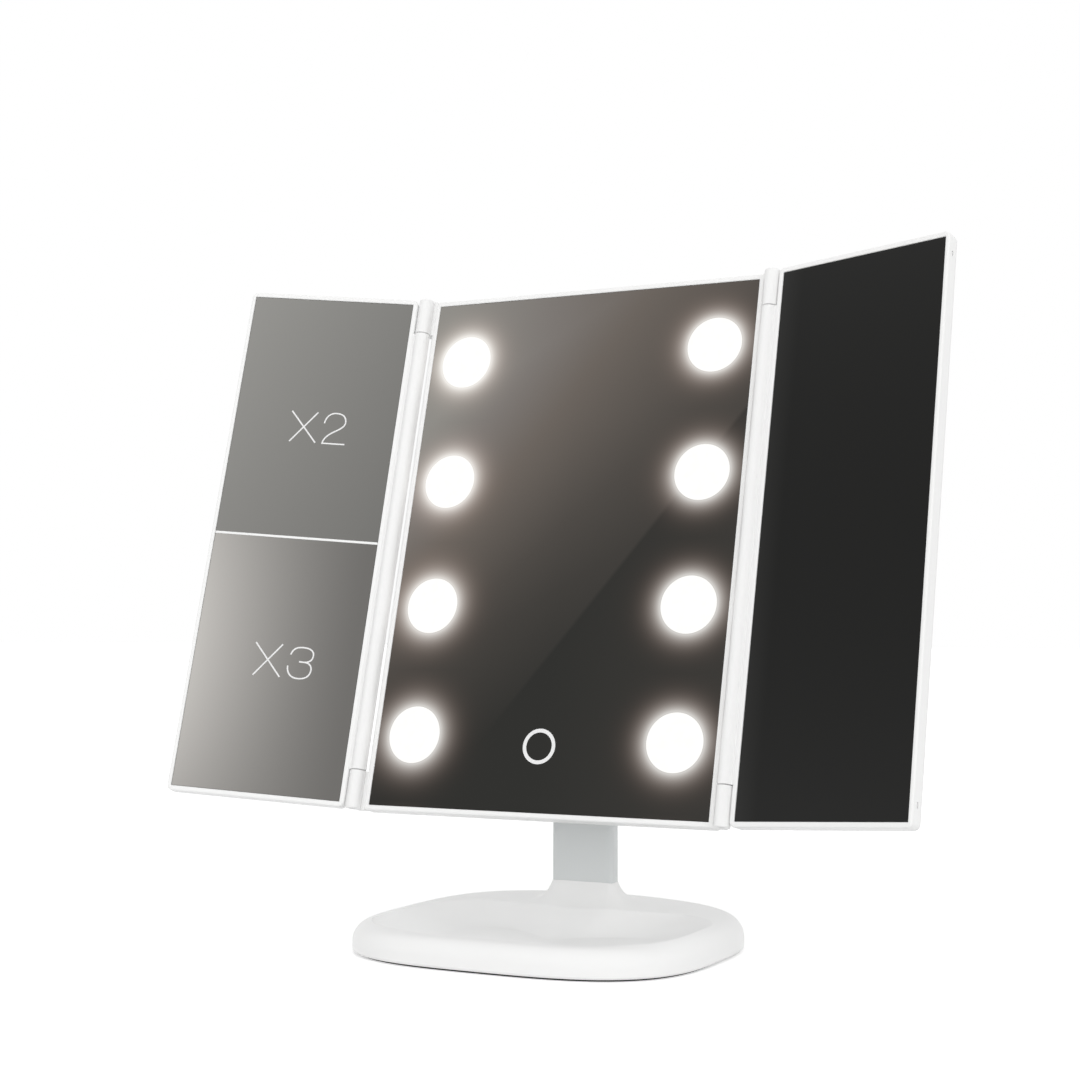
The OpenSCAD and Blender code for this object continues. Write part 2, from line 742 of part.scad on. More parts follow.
module rear_housing() color(white) on_head() difference() {
    union() {
        housing_shell();
        housing_spigot();
        at_housing_screws() post(well_r, well_y, back_y - 0.5);
        block(-door_hw - housing_wall, door_hw + housing_wall, floor_back + 0.1, back_y - 0.5,
            door_z0 - cell_box_wall, door_z1 + cell_box_wall);
        at_ear_screws() post(3, deck_in - ear_post_l, deck_in + 0.5);
    }
    at_housing_screws() {
        post(screw_r + screw_play, well_y - over, back_y);
        post(screw_head_r + 0.2, well_y + well_floor_t, back_y + over);
    }
    block(-cell_box_hw, cell_box_hw, cell_y - cell_r - 0.1, back_y + over, cells_z, cells_z + cell_box_l);
    block(-door_hw, door_hw, back_y - door_t - 0.1, back_y + over, door_z0, door_z1);
    pin_end = door_hw + door_pin_l + 0.1;
    axle(-pin_end, pin_end, door_axis_y, door_axis_z, door_pin_r + run_fit);
    knob_room = (knob_w + switch_travel) / 2 + knob_gap;
    block(switch_x - knob_room, switch_x + knob_room, deck_in - over, back_y + over,
        switch_z - knob_h / 2 - knob_gap, switch_z + knob_h / 2 + knob_gap);
    usb_block(usb_gap, -deck_hh - over, -deck_hh + housing_wall + over);
    at_ear_screws() post(screw_r, deck_in - ear_post_l - 0.5, back_y + over);
}

module housing_screws() color(steel) on_head() at_housing_screws() {
    post(screw_head_r, well_y + well_floor_t, well_y + well_floor_t + screw_head_t);
    post(screw_r, floor_back + 0.8, well_y + well_floor_t + eps);
}

module battery(number) color("goldenrod") on_head()
    translate([(number - 2.5) * cell_pitch, cell_y, cells_z + cell_spare / 2]) {
        rod(0, cell_l - nub_h, cell_r);
        rod(cell_l - nub_h - eps, cell_l, nub_r);
    }

module battery_contacts() color(steel) on_head() for (i = [-1.5 : 1 : 1.5], end = [0, 1])
    translate([i * cell_pitch, cell_y, cells_z + end * cell_box_l]) mirror([0, 0, end]) {
        block(-contact_hw, contact_hw, -contact_hw, contact_hw, 0, contact_t);
        cylinder(h = contact_h, r1 = contact_r0, r2 = contact_r1);
    }

module battery_door() color(white) on_head() {
    hw = door_hw - door_gap;
    block(-hw, hw, back_y - door_t, back_y, door_axis_z, door_z1 - door_gap);
    axle(-hw, hw, door_axis_y, door_axis_z, door_t / 2);
    axle(-hw - door_pin_l, hw + door_pin_l, door_axis_y, door_axis_z, door_pin_r);
    for (i = [1 : 4]) {
        z = door_z1 - 2 - i * grip_pitch;
        block(-grip_hw, grip_hw, back_y - eps, back_y + grip_h, z - 1, z);
    }
}

module ear_body() difference() {
    union() {
        block(ear_x0, ear_x1, back_y, pivot_back, -ear_r, ear_r);
        axle(ear_x0, ear_x1, pivot_back, 0, ear_r);
        block(ear_x0, ear_x0 + ear_foot_w, back_y, back_y + ear_foot_t, -ear_foot_hz, ear_foot_hz);
    }
    axle(ear_x0 - over, ear_x1 + over, pivot_back, 0, shaft_r);
    axle(ear_x1, ear_x1 + nut_t + 1.6, pivot_back, 0, nut_r + nut_room);
    at_ear_screws() post(screw_r + screw_play, back_y - over, back_y + ear_foot_t + over);
}
module tilt_ear(side) color(white) on_head() if (side > 0) ear_body(); else mirror([1, 0, 0]) ear_body();

module ear_screws() color(steel) on_head() at_ear_screws() {
    post(screw_head_r, back_y + ear_foot_t, back_y + ear_foot_t + screw_head_t);
    post(screw_r, deck_in - ear_post_l + 0.5, back_y + ear_foot_t + eps);
}

module tilt_shaft() color(steel) on_head() {
    axle(-ear_x1 - shaft_head_t, -ear_x1, pivot_back, 0, shaft_head_r);
    axle(-ear_x1 - eps, ear_x1 + nut_t + 1, pivot_back, 0, shaft_r);
}

module shaft_nut() color(steel) on_head() difference() {
    translate([ear_x1, pivot_back, 0]) rotate([0, 90, 0]) cylinder(h = nut_t, r = nut_r, $fn = 6);
    axle(ear_x0, ear_x1 + nut_t + over, pivot_back, 0, shaft_r);
}

module friction_washers() color(fibre) on_head() for (side = [0, 1]) mirror([side, 0, 0]) difference() {
    axle(ear_x0 - washer_t, ear_x0, pivot_back, 0, washer_r);
    axle(ear_x0 - washer_t - over, ear_x0 + over, pivot_back, 0, shaft_r);
}

module hinge_pins() color(steel) on_head() for (side = [-1, 1]) both_ends()
    translate([side * hinge_x, -hinge_fwd, 0]) rod(knuckle_z - pin_in, frame_hh - pin_end_gap, pin_r);

// ---------------------------------------------------------------- wings
module wing_tray() {
    difference() {
        wing_slab(wing_x0, wing_x1, frame_hh, wing_corner, wing_front_y, wing_cover_y);
        wing_slab(wing_glass_x0 - glass_fit, wing_glass_x1 + glass_fit, glass_h / 2 + glass_fit, 0,
            wing_front_y - over, wing_floor_y);
        wing_slab(wing_glass_x0 + ledge_w, wing_glass_x1 - ledge_w, glass_h / 2 - ledge_w, 0,
            wing_floor_y - over, wing_cover_y + over);
        wing_slab(wing_glass_x0 - glass_fit, wing_glass_x1 + glass_fit, glass_h / 2 + glass_fit, 0,
            wing_floor_y + ledge_t, wing_cover_y + over);
    }
}

module wing_frame_body() {
    barrel_z = knuckle_z - knuckle_gap / 2;
    difference() {
        union() {
            wing_tray();
            rod(-barrel_z, barrel_z, knuckle_r);
            block(-0.5, wing_x0 + 0.6, wing_face_y - 0.05, wing_cover_y, -barrel_z, barrel_z);
        }
        both_ends() {
            rod(knuckle_z - pin_in - over, knuckle_z + over, pin_r + run_fit);
            block(wing_glass_x1 - 1.6, wing_glass_x1 + 0.2, catch_slot_y - 0.4, wing_cover_y + over,
                catch_z - catch_w / 2 - hook_room, catch_z + catch_w / 2 + hook_room);
            block(wing_glass_x1 - 1, wing_x1 + over, catch_slot_y, catch_slot_y + catch_slot_t,
                catch_z - catch_w / 2, catch_z + catch_w / 2);
        }
    }
}

module wing_hook() {
    z0 = catch_z - catch_w / 2 + hook_side_gap;
    z1 = catch_z + catch_w / 2 - hook_side_gap;
    x1 = wing_glass_x1 - hook_inset;
    block(x1 - hook_t, x1, wing_floor_y, wing_cover_y + 0.2, z0, z1);
    block(x1 - 0.1, wing_glass_x1 + hook_reach, wing_floor_y, wing_floor_y + hook_tip_t, z0, z1);
}

module wing_cover_body() {
    wing_slab(wing_x0, wing_x1, frame_hh, wing_corner, wing_cover_y, wing_back_y);
    both_ends() wing_hook();
    for (i = [1 : 3]) {
        x = mix(wing_glass_x0, wing_glass_x1, i / 4);
        block(x - rib_half_t, x + rib_half_t, wing_floor_y, wing_cover_y + 0.2,
            -glass_h / 2 + rib_end_gap, glass_h / 2 - rib_end_gap);
    }
}

module wing_tape_body() {
    tape_ring(wing_glass_x0 + wing_tape_inset, wing_glass_x1 - wing_tape_inset, glass_h / 2 - wing_tape_inset,
        ledge_w - 0.9, wing_face_y + glass_t, wing_floor_y);
}
module wing_glass_body(z0, z1) {
    block(wing_glass_x0, wing_glass_x1, wing_face_y, wing_face_y + glass_t, z0, z1);
}

module left_wing_frame() color(white) on_left_wing() wing_frame_body();
module right_wing_frame() color(white) on_right_wing() wing_frame_body();
module left_wing_cover() color(white) on_left_wing() wing_cover_body();
module right_wing_cover() color(white) on_right_wing() wing_cover_body();
module left_wing_tape() color(rubber) on_left_wing() wing_tape_body();
module right_wing_tape() color(rubber) on_right_wing() wing_tape_body();
module upper_left_glass() color(pale_mirror) on_left_wing() wing_glass_body(divider_w / 2, glass_h / 2);
module lower_left_glass() color(pale_mirror) on_left_wing() wing_glass_body(-glass_h / 2, -divider_w / 2);
module right_glass() color(dark_mirror) on_right_wing() wing_glass_body(-glass_h / 2, glass_h / 2);
module glass_divider() color(white) on_left_wing()
    block(wing_glass_x0, wing_glass_x1, wing_face_y - divider_proud, wing_face_y + glass_t,
        -divider_w / 2, divider_w / 2);

// ---------------------------------------------------------------- printed magnification marks
// a cross and a figure, in plain strokes; each figure's curves run through its own corner at [0, 0]
mark_h = 14.6;
cross_w = 13;
cross_gap = 2.9;
upper_mark = [55, 45];
lower_mark = [54, -63.4];
curve_steps = 7;
function bezier(p, t) = pow(1 - t, 3) * p[0] + 3 * t * pow(1 - t, 2) * p[1]
    + 3 * t * t * (1 - t) * p[2] + pow(t, 3) * p[3];
function curve(p) = [for (i = [0 : curve_steps]) bezier(p, i / curve_steps)];
function join(a, b) = concat(a, [for (i = [1 : len(b) - 1]) b[i]]);
function heading(path, i) = let (
    a = path[max(0, i - 1)],
    b = path[min(len(path) - 1, i + 1)])
    (b - a) / norm(b - a);

module stroke(path) {
    last = len(path) - 1;
    side = [for (i = [0 : last]) let (h = heading(path, i)) [-h[1], h[0]] * stroke_w / 2];
    polygon(concat([for (i = [0 : last]) path[i] + side[i]], [for (i = [last : -1 : 0]) path[i] - side[i]]));
}

two_curve = join(curve([[0, 9.6], [0.4, 13.2], [2.6, 14.6], [4.9, 14.6]]),
    join(curve([[4.9, 14.6], [8, 14.6], [9.8, 13.2], [9.8, 10.5]]),
        curve([[9.8, 10.5], [9.8, 6.2], [1.2, 6], [0.3, 0]])));
three_top = join(curve([[0.6, 10.4], [1.4, 13.4], [3.4, 13.9], [5.6, 13.9]]),
    join(curve([[5.6, 13.9], [9, 13.9], [10.8, 12.8], [10.8, 10.7]]),
        join(curve([[10.8, 10.7], [10.8, 8.4], [9.2, 7.4], [7, 7.4]]), [[7, 7.4], [4.8, 7.5]])));
three_foot = join(curve([[7.4, 7.4], [9.6, 7.2], [10.8, 6], [10.7, 4]]),
    join(curve([[10.7, 4], [10.5, 1.4], [8.6, 0], [5.5, 0]]),
        curve([[5.5, 0], [2.2, 0], [0, 1.8], [0, 5.4]])));

module cross_mark() {
    stroke([[0, mark_h], [cross_w, 0]]);
    stroke([[cross_w - 0.7, mark_h], [0.8, 0]]);
}
module two_mark() {
    stroke(two_curve);
    stroke([[0, 0], [10.8, 0]]);
}
module three_mark() {
    stroke(three_top);
    stroke(three_foot);
}

// the viewer reads a mark from left to right, which on the left wing runs towards the hinge
module mark_at(corner) {
    translate([corner[0], wing_face_y, corner[1]]) rotate([90, 0, 0]) mirror([1, 0, 0])
        linear_extrude(print_t) {
            cross_mark();
            translate([cross_w + cross_gap, 0]) children();
        }
}

module magnification_marks() color(white) on_left_wing() {
    mark_at(upper_mark) two_mark();
    mark_at(lower_mark) three_mark();
}

// ---------------------------------------------------------------- the object
base_tray();
base_bottom_cover();
foot_ring();
ballast_bar();
base_screws();
stem();
stem_screws();
centre_frame();
centre_glass();
centre_glass_tape();
reflector_cups();
led_board(-1);  // led_board_left
led_board(1);  // led_board_right
led_chips();
touch_ring();
touch_sensor();
control_board();
board_screws();
usb_socket();
slide_switch();
switch_knob();
wire_harness();
rear_housing();
housing_screws();
battery_contacts();
battery_door();
tilt_ear(-1);  // tilt_ear_left
tilt_ear(1);  // tilt_ear_right
ear_screws();
tilt_shaft();
shaft_nut();
friction_washers();
hinge_pins();
left_wing_frame();
left_wing_cover();
left_wing_tape();
upper_left_glass();
lower_left_glass();
glass_divider();
magnification_marks();
right_wing_frame();
right_wing_cover();
right_wing_tape();
right_glass();
for (i = [1 : 4]) battery(i);
for (i = [1 : 8]) diffuser(i);
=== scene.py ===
"""The look of a trifold vanity mirror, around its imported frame.

Lengths are millimetres in a piece's own frame, and piece() turns them into metres in the row's frame.
The head's frame: x right, y away from the viewer, z up along the glass, from the centre glass's front face.
A wing's frame: x outward from its hinge's axis, y back, z up. The left wing's is a mirror image.
"""

import json
import math

import bmesh
import bpy
from mathutils import Matrix, Vector

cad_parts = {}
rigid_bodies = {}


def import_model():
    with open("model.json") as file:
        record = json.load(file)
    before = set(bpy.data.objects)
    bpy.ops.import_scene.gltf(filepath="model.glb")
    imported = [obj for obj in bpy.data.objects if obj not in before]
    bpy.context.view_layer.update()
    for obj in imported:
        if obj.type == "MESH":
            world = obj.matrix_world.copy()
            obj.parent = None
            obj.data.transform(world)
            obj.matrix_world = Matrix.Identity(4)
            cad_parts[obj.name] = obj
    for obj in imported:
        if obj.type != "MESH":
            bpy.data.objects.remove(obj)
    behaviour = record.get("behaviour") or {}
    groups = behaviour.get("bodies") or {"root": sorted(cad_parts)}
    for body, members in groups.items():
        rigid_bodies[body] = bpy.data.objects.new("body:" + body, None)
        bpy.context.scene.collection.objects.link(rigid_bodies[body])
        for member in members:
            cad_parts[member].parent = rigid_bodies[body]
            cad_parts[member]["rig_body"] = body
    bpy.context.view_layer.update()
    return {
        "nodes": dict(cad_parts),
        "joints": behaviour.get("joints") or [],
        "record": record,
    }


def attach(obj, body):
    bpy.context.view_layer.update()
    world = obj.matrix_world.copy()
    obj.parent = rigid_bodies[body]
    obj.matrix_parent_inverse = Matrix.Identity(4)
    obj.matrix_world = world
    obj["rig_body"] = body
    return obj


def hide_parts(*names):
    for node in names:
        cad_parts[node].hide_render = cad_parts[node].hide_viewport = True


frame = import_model()

MM = 0.001
JOINTS = {joint["name"]: joint for joint in frame["joints"]}
SLOT = {part["node"]: part["material_slot"] for part in frame["record"]["subparts"]}


# ---------------------------------------------------------------- camera
CAMERA_AT = (0.348305, -0.697548, 0.131587)
CAMERA_TURN = 26.832  # degrees to the left of straight ahead
CAMERA_TILT = 2.699  # degrees upward
CAMERA_ROLL = 0.086
SENSOR = 36.0
LENS = 62.617


def add_camera():
    data = bpy.data.cameras.new("camera")
    data.sensor_width = SENSOR
    data.lens = LENS
    data.clip_start = 0.01
    camera = bpy.data.objects.new("camera", data)
    bpy.context.scene.collection.objects.link(camera)
    turn = Matrix.Rotation(math.radians(CAMERA_TURN), 4, "Z")
    tilt = Matrix.Rotation(math.radians(90 + CAMERA_TILT), 4, "X")
    roll = Matrix.Rotation(math.radians(CAMERA_ROLL), 4, "Z")
    camera.matrix_world = Matrix.Translation(CAMERA_AT) @ turn @ tilt @ roll
    bpy.context.scene.camera = camera


# ---------------------------------------------------------------- own frames
def own_frame(origin, x_axis, y_axis, z_axis):
    """Matrix from millimetres in a piece's own frame to metres in the row's frame."""
    turn = Matrix((x_axis, y_axis, z_axis)).transposed().to_4x4()
    return Matrix.Translation(origin) @ turn @ Matrix.Scale(MM, 4)


def node_box(node, place):
    """(lowest, highest) corner of a CAD node in its own frame, in millimetres."""
    back = place.inverted()
    points = [back @ vertex.co for vertex in frame["nodes"][node].data.vertices]
    return [Vector([pick(p[axis] for p in points) for axis in range(3)]) for pick in (min, max)]


UP = Vector(JOINTS["left_wing_hinge"]["axis"]).normalized()
RIGHT = Vector((1, 0, 0))
BACK = UP.cross(RIGHT)
STAND = Matrix.Scale(MM, 4)
AT_TILT = own_frame(JOINTS["head_tilt"]["pos_m"], RIGHT, BACK, UP)


def head_frame():
    """The head's frame: the tilt axis's frame, moved to the middle of the glass's front face."""
    low, high = node_box("centre_glass", AT_TILT)
    middle = Vector(((low.x + high.x) / 2, low.y, (low.z + high.z) / 2))
    return AT_TILT @ Matrix.Translation(middle)


def wing_frame(side):
    joint = JOINTS["left_wing_hinge" if side < 0 else "right_wing_hinge"]
    fold = Matrix.Rotation(math.radians(side * joint["range_deg"][0]), 3, UP)
    return own_frame(joint["pos_m"], fold @ RIGHT * side, fold @ BACK, UP)


HEAD = head_frame()
LEFT_WING = wing_frame(-1)
RIGHT_WING = wing_frame(1)
# a side (left or right) and an end (bottom or top) for each corner of the centre panel
CORNERS = [(side, end) for side in (-1, 1) for end in (-1, 1)]


def joint_place(name):
    """A joint's place in the head's frame."""
    return HEAD.inverted() @ Vector(JOINTS[name]["pos_m"])


# ---------------------------------------------------------------- solids
CORNER_STEPS = 6
EDGE_STEPS = 3
TURN_STEPS = 64
ORDER = {
    "X": lambda u, v, t: (t, u, v),
    "Y": lambda u, v, t: (u, t, v),
    "Z": lambda u, v, t: (u, v, t),
}


def solid(points, faces):
    """A closed mesh object with its faces turned outward."""
    mesh = bpy.data.meshes.new("solid")
    work = bmesh.new()
    corners = [work.verts.new(p) for p in points]
    for face in faces:
        work.faces.new([corners[i] for i in face])
    bmesh.ops.recalc_face_normals(work, faces=work.faces)
    if work.calc_volume(signed=True) < 0:
        bmesh.ops.reverse_faces(work, faces=work.faces)
    work.to_mesh(mesh)
    work.free()
    made = bpy.data.objects.new("solid", mesh)
    bpy.context.scene.collection.objects.link(made)
    return made


def loft(loops, ring=False):
    """A solid over equal loops. A ring's last loop joins its first; otherwise both ends are capped."""
    count = len(loops[0])
    faces = []
    for j in range(len(loops) if ring else len(loops) - 1):
        a, b = j * count, (j + 1) % len(loops) * count
        faces += [(a + i, a + (i + 1) % count, b + (i + 1) % count, b + i) for i in range(count)]
    if not ring:
        last = (len(loops) - 1) * count
        faces += [tuple(range(count)), tuple(range(last, last + count))]
    return solid([p for loop in loops for p in loop], faces)


def rect_loop(u0, u1, v0, v1, r, t, axis="Y", inset=0.0):
    """Points round a rounded rectangle, drawn in by an inset."""
    u0, u1, v0, v1 = u0 + inset, u1 - inset, v0 + inset, v1 - inset
    r = max(r - inset, 0.03)
    points = []
    corners = ((u1 - r, v0 + r, -90), (u1 - r, v1 - r, 0), (u0 + r, v1 - r, 90), (u0 + r, v0 + r, 180))
    for u, v, start in corners:
        for k in range(CORNER_STEPS + 1):
            a = math.radians(start + 90 * k / CORNER_STEPS)
            points.append(ORDER[axis](u + r * math.cos(a), v + r * math.sin(a), t))
    return points


def rounded_side(t0, t1, low, high, steps=EDGE_STEPS):
    """(inset, place) pairs along a plate's side, whose two edges are rounded."""
    pairs = []
    for k in range(steps + 1):
        a = math.pi / 2 * k / steps
        pairs.append((low * (1 - math.sin(a)), t0 + low * (1 - math.cos(a))))
    for k in range(steps + 1):
        a = math.pi / 2 * k / steps
        pairs.append((high * (1 - math.cos(a)), t1 - high * (1 - math.sin(a))))
    return pairs


def plate(u0, u1, v0, v1, t0, t1, corner=0.3, low=0.2, high=0.2, axis="Y"):
    """A rounded rectangle between two places on its axis, with rounded edges."""
    side = rounded_side(t0, t1, low, high)
    return loft([rect_loop(u0, u1, v0, v1, corner, t, axis, inset) for inset, t in side])


def full_turn(steps):
    return [2 * math.pi * i / steps for i in range(steps)]


def turned(profile, axis="Y", at=(0, 0), ring=False, steps=TURN_STEPS):
    """A solid of revolution. The profile's points are (radius, place on the axis)."""
    angles = full_turn(steps)
    loops = [[ORDER[axis](at[0] + r * math.cos(a), at[1] + r * math.sin(a), t) for a in angles]
             for r, t in profile]
    return loft(loops, ring)


def rod(r, t0, t1, axis="Y", at=(0, 0), low=0.0, high=0.0, steps=TURN_STEPS):
    """A cylinder whose two rims may be rounded."""
    if low == 0 and high == 0:
        return turned([(r, t0), (r, t1)], axis, at, steps=steps)
    low, high = max(low, 0.01), max(high, 0.01)
    return turned([(r - inset, t) for inset, t in rounded_side(t0, t1, low, high)], axis, at, steps=steps)


def combine(target, tools, operation, solver="MANIFOLD"):
    """Applies one Boolean step for each tool, and removes the tools."""
    for tool in tools:
        step = target.modifiers.new("step", "BOOLEAN")
        step.operation = operation
        step.solver = solver
        step.object = tool
    bpy.context.view_layer.update()
    graph = bpy.context.evaluated_depsgraph_get()
    made = bpy.data.meshes.new_from_object(target.evaluated_get(graph))
    target.modifiers.clear()
    target.data = made
    for tool in tools:
        bpy.data.objects.remove(tool)
    return target


def union(target, *tools):
    return combine(target, tools, "UNION")


def cut(target, *tools):
    return combine(target, tools, "DIFFERENCE")


def gather(solids):
    """One object from solids that don't touch."""
    work = bmesh.new()
    for part in solids:
        work.from_mesh(part.data)
    work.to_mesh(solids[0].data)
    work.free()
    for part in solids[1:]:
        bpy.data.objects.remove(part)
    return solids[0]


def copy_of(part):
    made = bpy.data.objects.new(part.name, part.data.copy())
    bpy.context.scene.collection.objects.link(made)
    return made


SMOOTH_ANGLE = 38
WELD = 0.0004  # millimetres


def piece(name, made, place, *nodes, slot=None):
    """Finishes a solid as a named piece that stands for CAD nodes and rides on their body."""
    work = bmesh.new()
    work.from_mesh(made.data)
    bmesh.ops.remove_doubles(work, verts=work.verts, dist=WELD)
    bmesh.ops.dissolve_degenerate(work, edges=work.edges, dist=WELD)
    bmesh.ops.transform(work, matrix=place, verts=work.verts)
    if place.determinant() < 0:
        bmesh.ops.reverse_faces(work, faces=work.faces)
    work.to_mesh(made.data)
    work.free()
    made.name = name
    made.data.name = name
    made.data.polygons.foreach_set("use_smooth", [True] * len(made.data.polygons))
    made.data.set_sharp_from_angle(angle=math.radians(SMOOTH_ANGLE))
    weighted = made.modifiers.new("weighted", "WEIGHTED_NORMAL")
    weighted.keep_sharp = True
    weighted.weight = 100
    slot = slot or SLOT[nodes[0]]
    made.data.materials.clear()
    made.data.materials.append(material(slot))
    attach(made, frame["nodes"][nodes[0]]["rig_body"])
    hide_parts(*nodes)
    return made


# ---------------------------------------------------------------- materials
class Graph:
    """A material's nodes, written as expressions."""

    def __init__(self, name, world=None):
        self.material = world or bpy.data.materials.new(name)
        self.material.use_nodes = True
        self.tree = self.material.node_tree
        self.shader = next((n for n in self.tree.nodes if n.type == "BSDF_PRINCIPLED"), None)

    def add(self, kind, inputs=(), **settings):
        made = self.tree.nodes.new(kind)
        for key, value in settings.items():
            setattr(made, key, value)
        for key, value in dict(inputs).items():
            self.feed(made.inputs[key], value)
        return made

    def feed(self, socket, value):
        if isinstance(value, bpy.types.NodeSocket):
            self.tree.links.new(value, socket)
        else:
            socket.default_value = value

    def math(self, operation, *values, clamp=False):
        made = self.add("ShaderNodeMath", enumerate(values), operation=operation, use_clamp=clamp)
        return made.outputs[0]

    def point(self):
        return self.add("ShaderNodeTexCoord").outputs["Object"]

    def along(self, place, axis):
        """A coordinate of an own frame, in millimetres."""
        back = place.inverted()
        row = back[axis]
        made = self.add("ShaderNodeVectorMath", {0: self.point(), 1: row[:3]}, operation="DOT_PRODUCT")
        return self.math("ADD", made.outputs["Value"], row[3])

    def noise(self, scale, detail=3.0, roughness=0.5):
        settings = {"Vector": self.point(), "Scale": scale, "Detail": detail, "Roughness": roughness}
        return self.add("ShaderNodeTexNoise", settings).outputs["Fac"]

    def ramp(self, value, stops):
        """Colours at places from 0 to 1. A number stands for a grey."""
        made = self.add("ShaderNodeValToRGB", {"Fac": value})
        while len(made.color_ramp.elements) < len(stops):
            made.color_ramp.elements.new(0.5)
        for element, (place, colour) in zip(made.color_ramp.elements, stops):
            element.position = place
            element.color = grey(colour) if isinstance(colour, (int, float)) else (*colour, 1)
        return made.outputs["Color"]

    def between(self, value, low, high, start=0.0, end=1.0):
        inputs = {"Value": value, "From Min": low, "From Max": high, "To Min": start, "To Max": end}
        return self.add("ShaderNodeMapRange", inputs).outputs["Result"]

    def bump(self, height, strength, distance):
        inputs = {"Height": height, "Strength": strength, "Distance": distance}
        self.feed(self.shader.inputs["Normal"], self.add("ShaderNodeBump", inputs).outputs["Normal"])

    def set(self, **values):
        for key, value in values.items():
            self.feed(self.shader.inputs[key.replace("_", " ")], value)


def grey(level):
    return (level, level, level, 1)


def linear(*levels):
    """A colour from its 8-bit display levels."""
    return tuple(((v / 255 + 0.055) / 1.055) ** 2.4 if v > 10.3 else v / 255 / 12.92 for v in levels)


def plastic(name, colour, roughness, grain, grain_scale, coat=0.0):
    """Moulded plastic: a faint cloudiness in its colour and gloss, and a fine surface grain."""
    g = Graph(name)
    cloud = g.noise(9, 2)
    light = [c * 1.005 for c in colour]
    dark = [c * 0.99 for c in colour]
    g.set(Base_Color=g.ramp(cloud, [(0.35, dark), (0.65, light)]))
    g.set(Roughness=g.between(g.noise(55, 4), 0.3, 0.7, roughness - 0.03, roughness + 0.03))
    g.set(IOR=1.53, Coat_Weight=coat, Coat_Roughness=0.06)
    g.bump(g.noise(grain_scale, 2), grain, 0.00004)
    return g.material


def white_gloss():
    return plastic("white_gloss", (0.875, 0.875, 0.87), 0.315, 0.05, 1500)


def white_back():
    return plastic("white_back", (0.85, 0.85, 0.848), 0.44, 0.3, 3200)


def stem_grey():
    return plastic("stem_grey", (0.66, 0.683, 0.683), 0.36, 0.15, 2400)


def black_plastic():
    return plastic("black_plastic", (0.016, 0.016, 0.017), 0.42, 0.5, 2200)


def rubber():
    g = Graph("rubber")
    dust = g.noise(160, 5, 0.65)
    g.set(Base_Color=g.ramp(dust, [(0.4, 0.012), (0.62, 0.02), (0.75, 0.04)]))
    g.set(Roughness=g.between(dust, 0.3, 0.7, 0.62, 0.82))
    g.bump(g.noise(1800, 3), 0.8, 0.00006)
    return g.material


def foam():
    g = Graph("foam")
    cells = g.add("ShaderNodeTexVoronoi", {"Vector": g.point(), "Scale": 2400}).outputs["Distance"]
    g.set(Base_Color=g.ramp(cells, [(0.0, 0.008), (0.6, 0.03)]), Roughness=0.9)
    g.bump(cells, 0.9, 0.0001)
    return g.material


def steel():
    g = Graph("steel")
    stretched = g.add("ShaderNodeMapping", {"Vector": g.point(), "Scale": (300, 300, 2600)}).outputs[0]
    brushed = g.add("ShaderNodeTexNoise", {"Vector": stretched, "Scale": 1.0, "Detail": 3.0}).outputs["Fac"]
    g.set(Base_Color=g.ramp(brushed, [(0.35, (0.5, 0.505, 0.51)), (0.65, (0.66, 0.665, 0.67))]))
    g.set(Metallic=1.0, Roughness=g.between(brushed, 0.3, 0.7, 0.28, 0.38))
    g.bump(brushed, 0.2, 0.00003)
    return g.material


def copper():
    g = Graph("copper")
    tarnish = g.noise(220, 4)
    g.set(Base_Color=g.ramp(tarnish, [(0.35, (0.52, 0.24, 0.13)), (0.65, (0.72, 0.4, 0.26))]))
    g.set(Metallic=1.0, Roughness=g.between(tarnish, 0.3, 0.7, 0.25, 0.45))
    return g.material


def lamp_window():
    g = Graph("lamp_window")
    milk = g.noise(300, 2)
    g.set(Base_Color=g.ramp(milk, [(0.3, (0.1, 0.097, 0.09)), (0.7, (0.12, 0.118, 0.112))]), Roughness=0.3)
    g.set(Emission_Color=g.ramp(milk, [(0.3, (1, 0.99, 0.97)), (0.7, (1, 0.997, 0.985))]))
    g.set(Emission_Strength=0.88)
    return g.material


def led():
    g = Graph("led")
    phosphor = g.noise(900, 2)
    g.set(Base_Color=g.ramp(phosphor, [(0.3, (0.85, 0.7, 0.28)), (0.7, (0.95, 0.84, 0.42))]), Roughness=0.35)
    g.set(Emission_Color=(1, 0.93, 0.75, 1), Emission_Strength=1.0)
    return g.material


def print_ink():
    g = Graph("print")
    g.set(Base_Color=g.ramp(g.noise(700, 3), [(0.3, 0.78), (0.7, 0.84)]), Roughness=0.4)
    return g.material


def circuit_board():
    g = Graph("circuit_board")
    tracks = g.add("ShaderNodeTexBrick", {"Vector": g.point(), "Scale": 120, "Mortar Size": 0.06})
    tint = g.ramp(tracks.outputs["Fac"], [(0.0, (0.012, 0.09, 0.035)), (1.0, (0.03, 0.17, 0.07))])
    g.set(Base_Color=tint, Roughness=g.between(g.noise(90, 2), 0.3, 0.7, 0.26, 0.36))
    g.bump(tracks.outputs["Fac"], 0.4, 0.00003)
    return g.material


def ribbon():
    g = Graph("ribbon")
    wave = g.add("ShaderNodeTexWave", {"Vector": g.point(), "Scale": 160}, bands_direction="Z")
    wires = wave.outputs["Fac"]
    g.set(Base_Color=g.ramp(wires, [(0.0, 0.55), (0.5, 0.74)]), Roughness=0.45)
    g.bump(wires, 0.6, 0.0001)
    return g.material


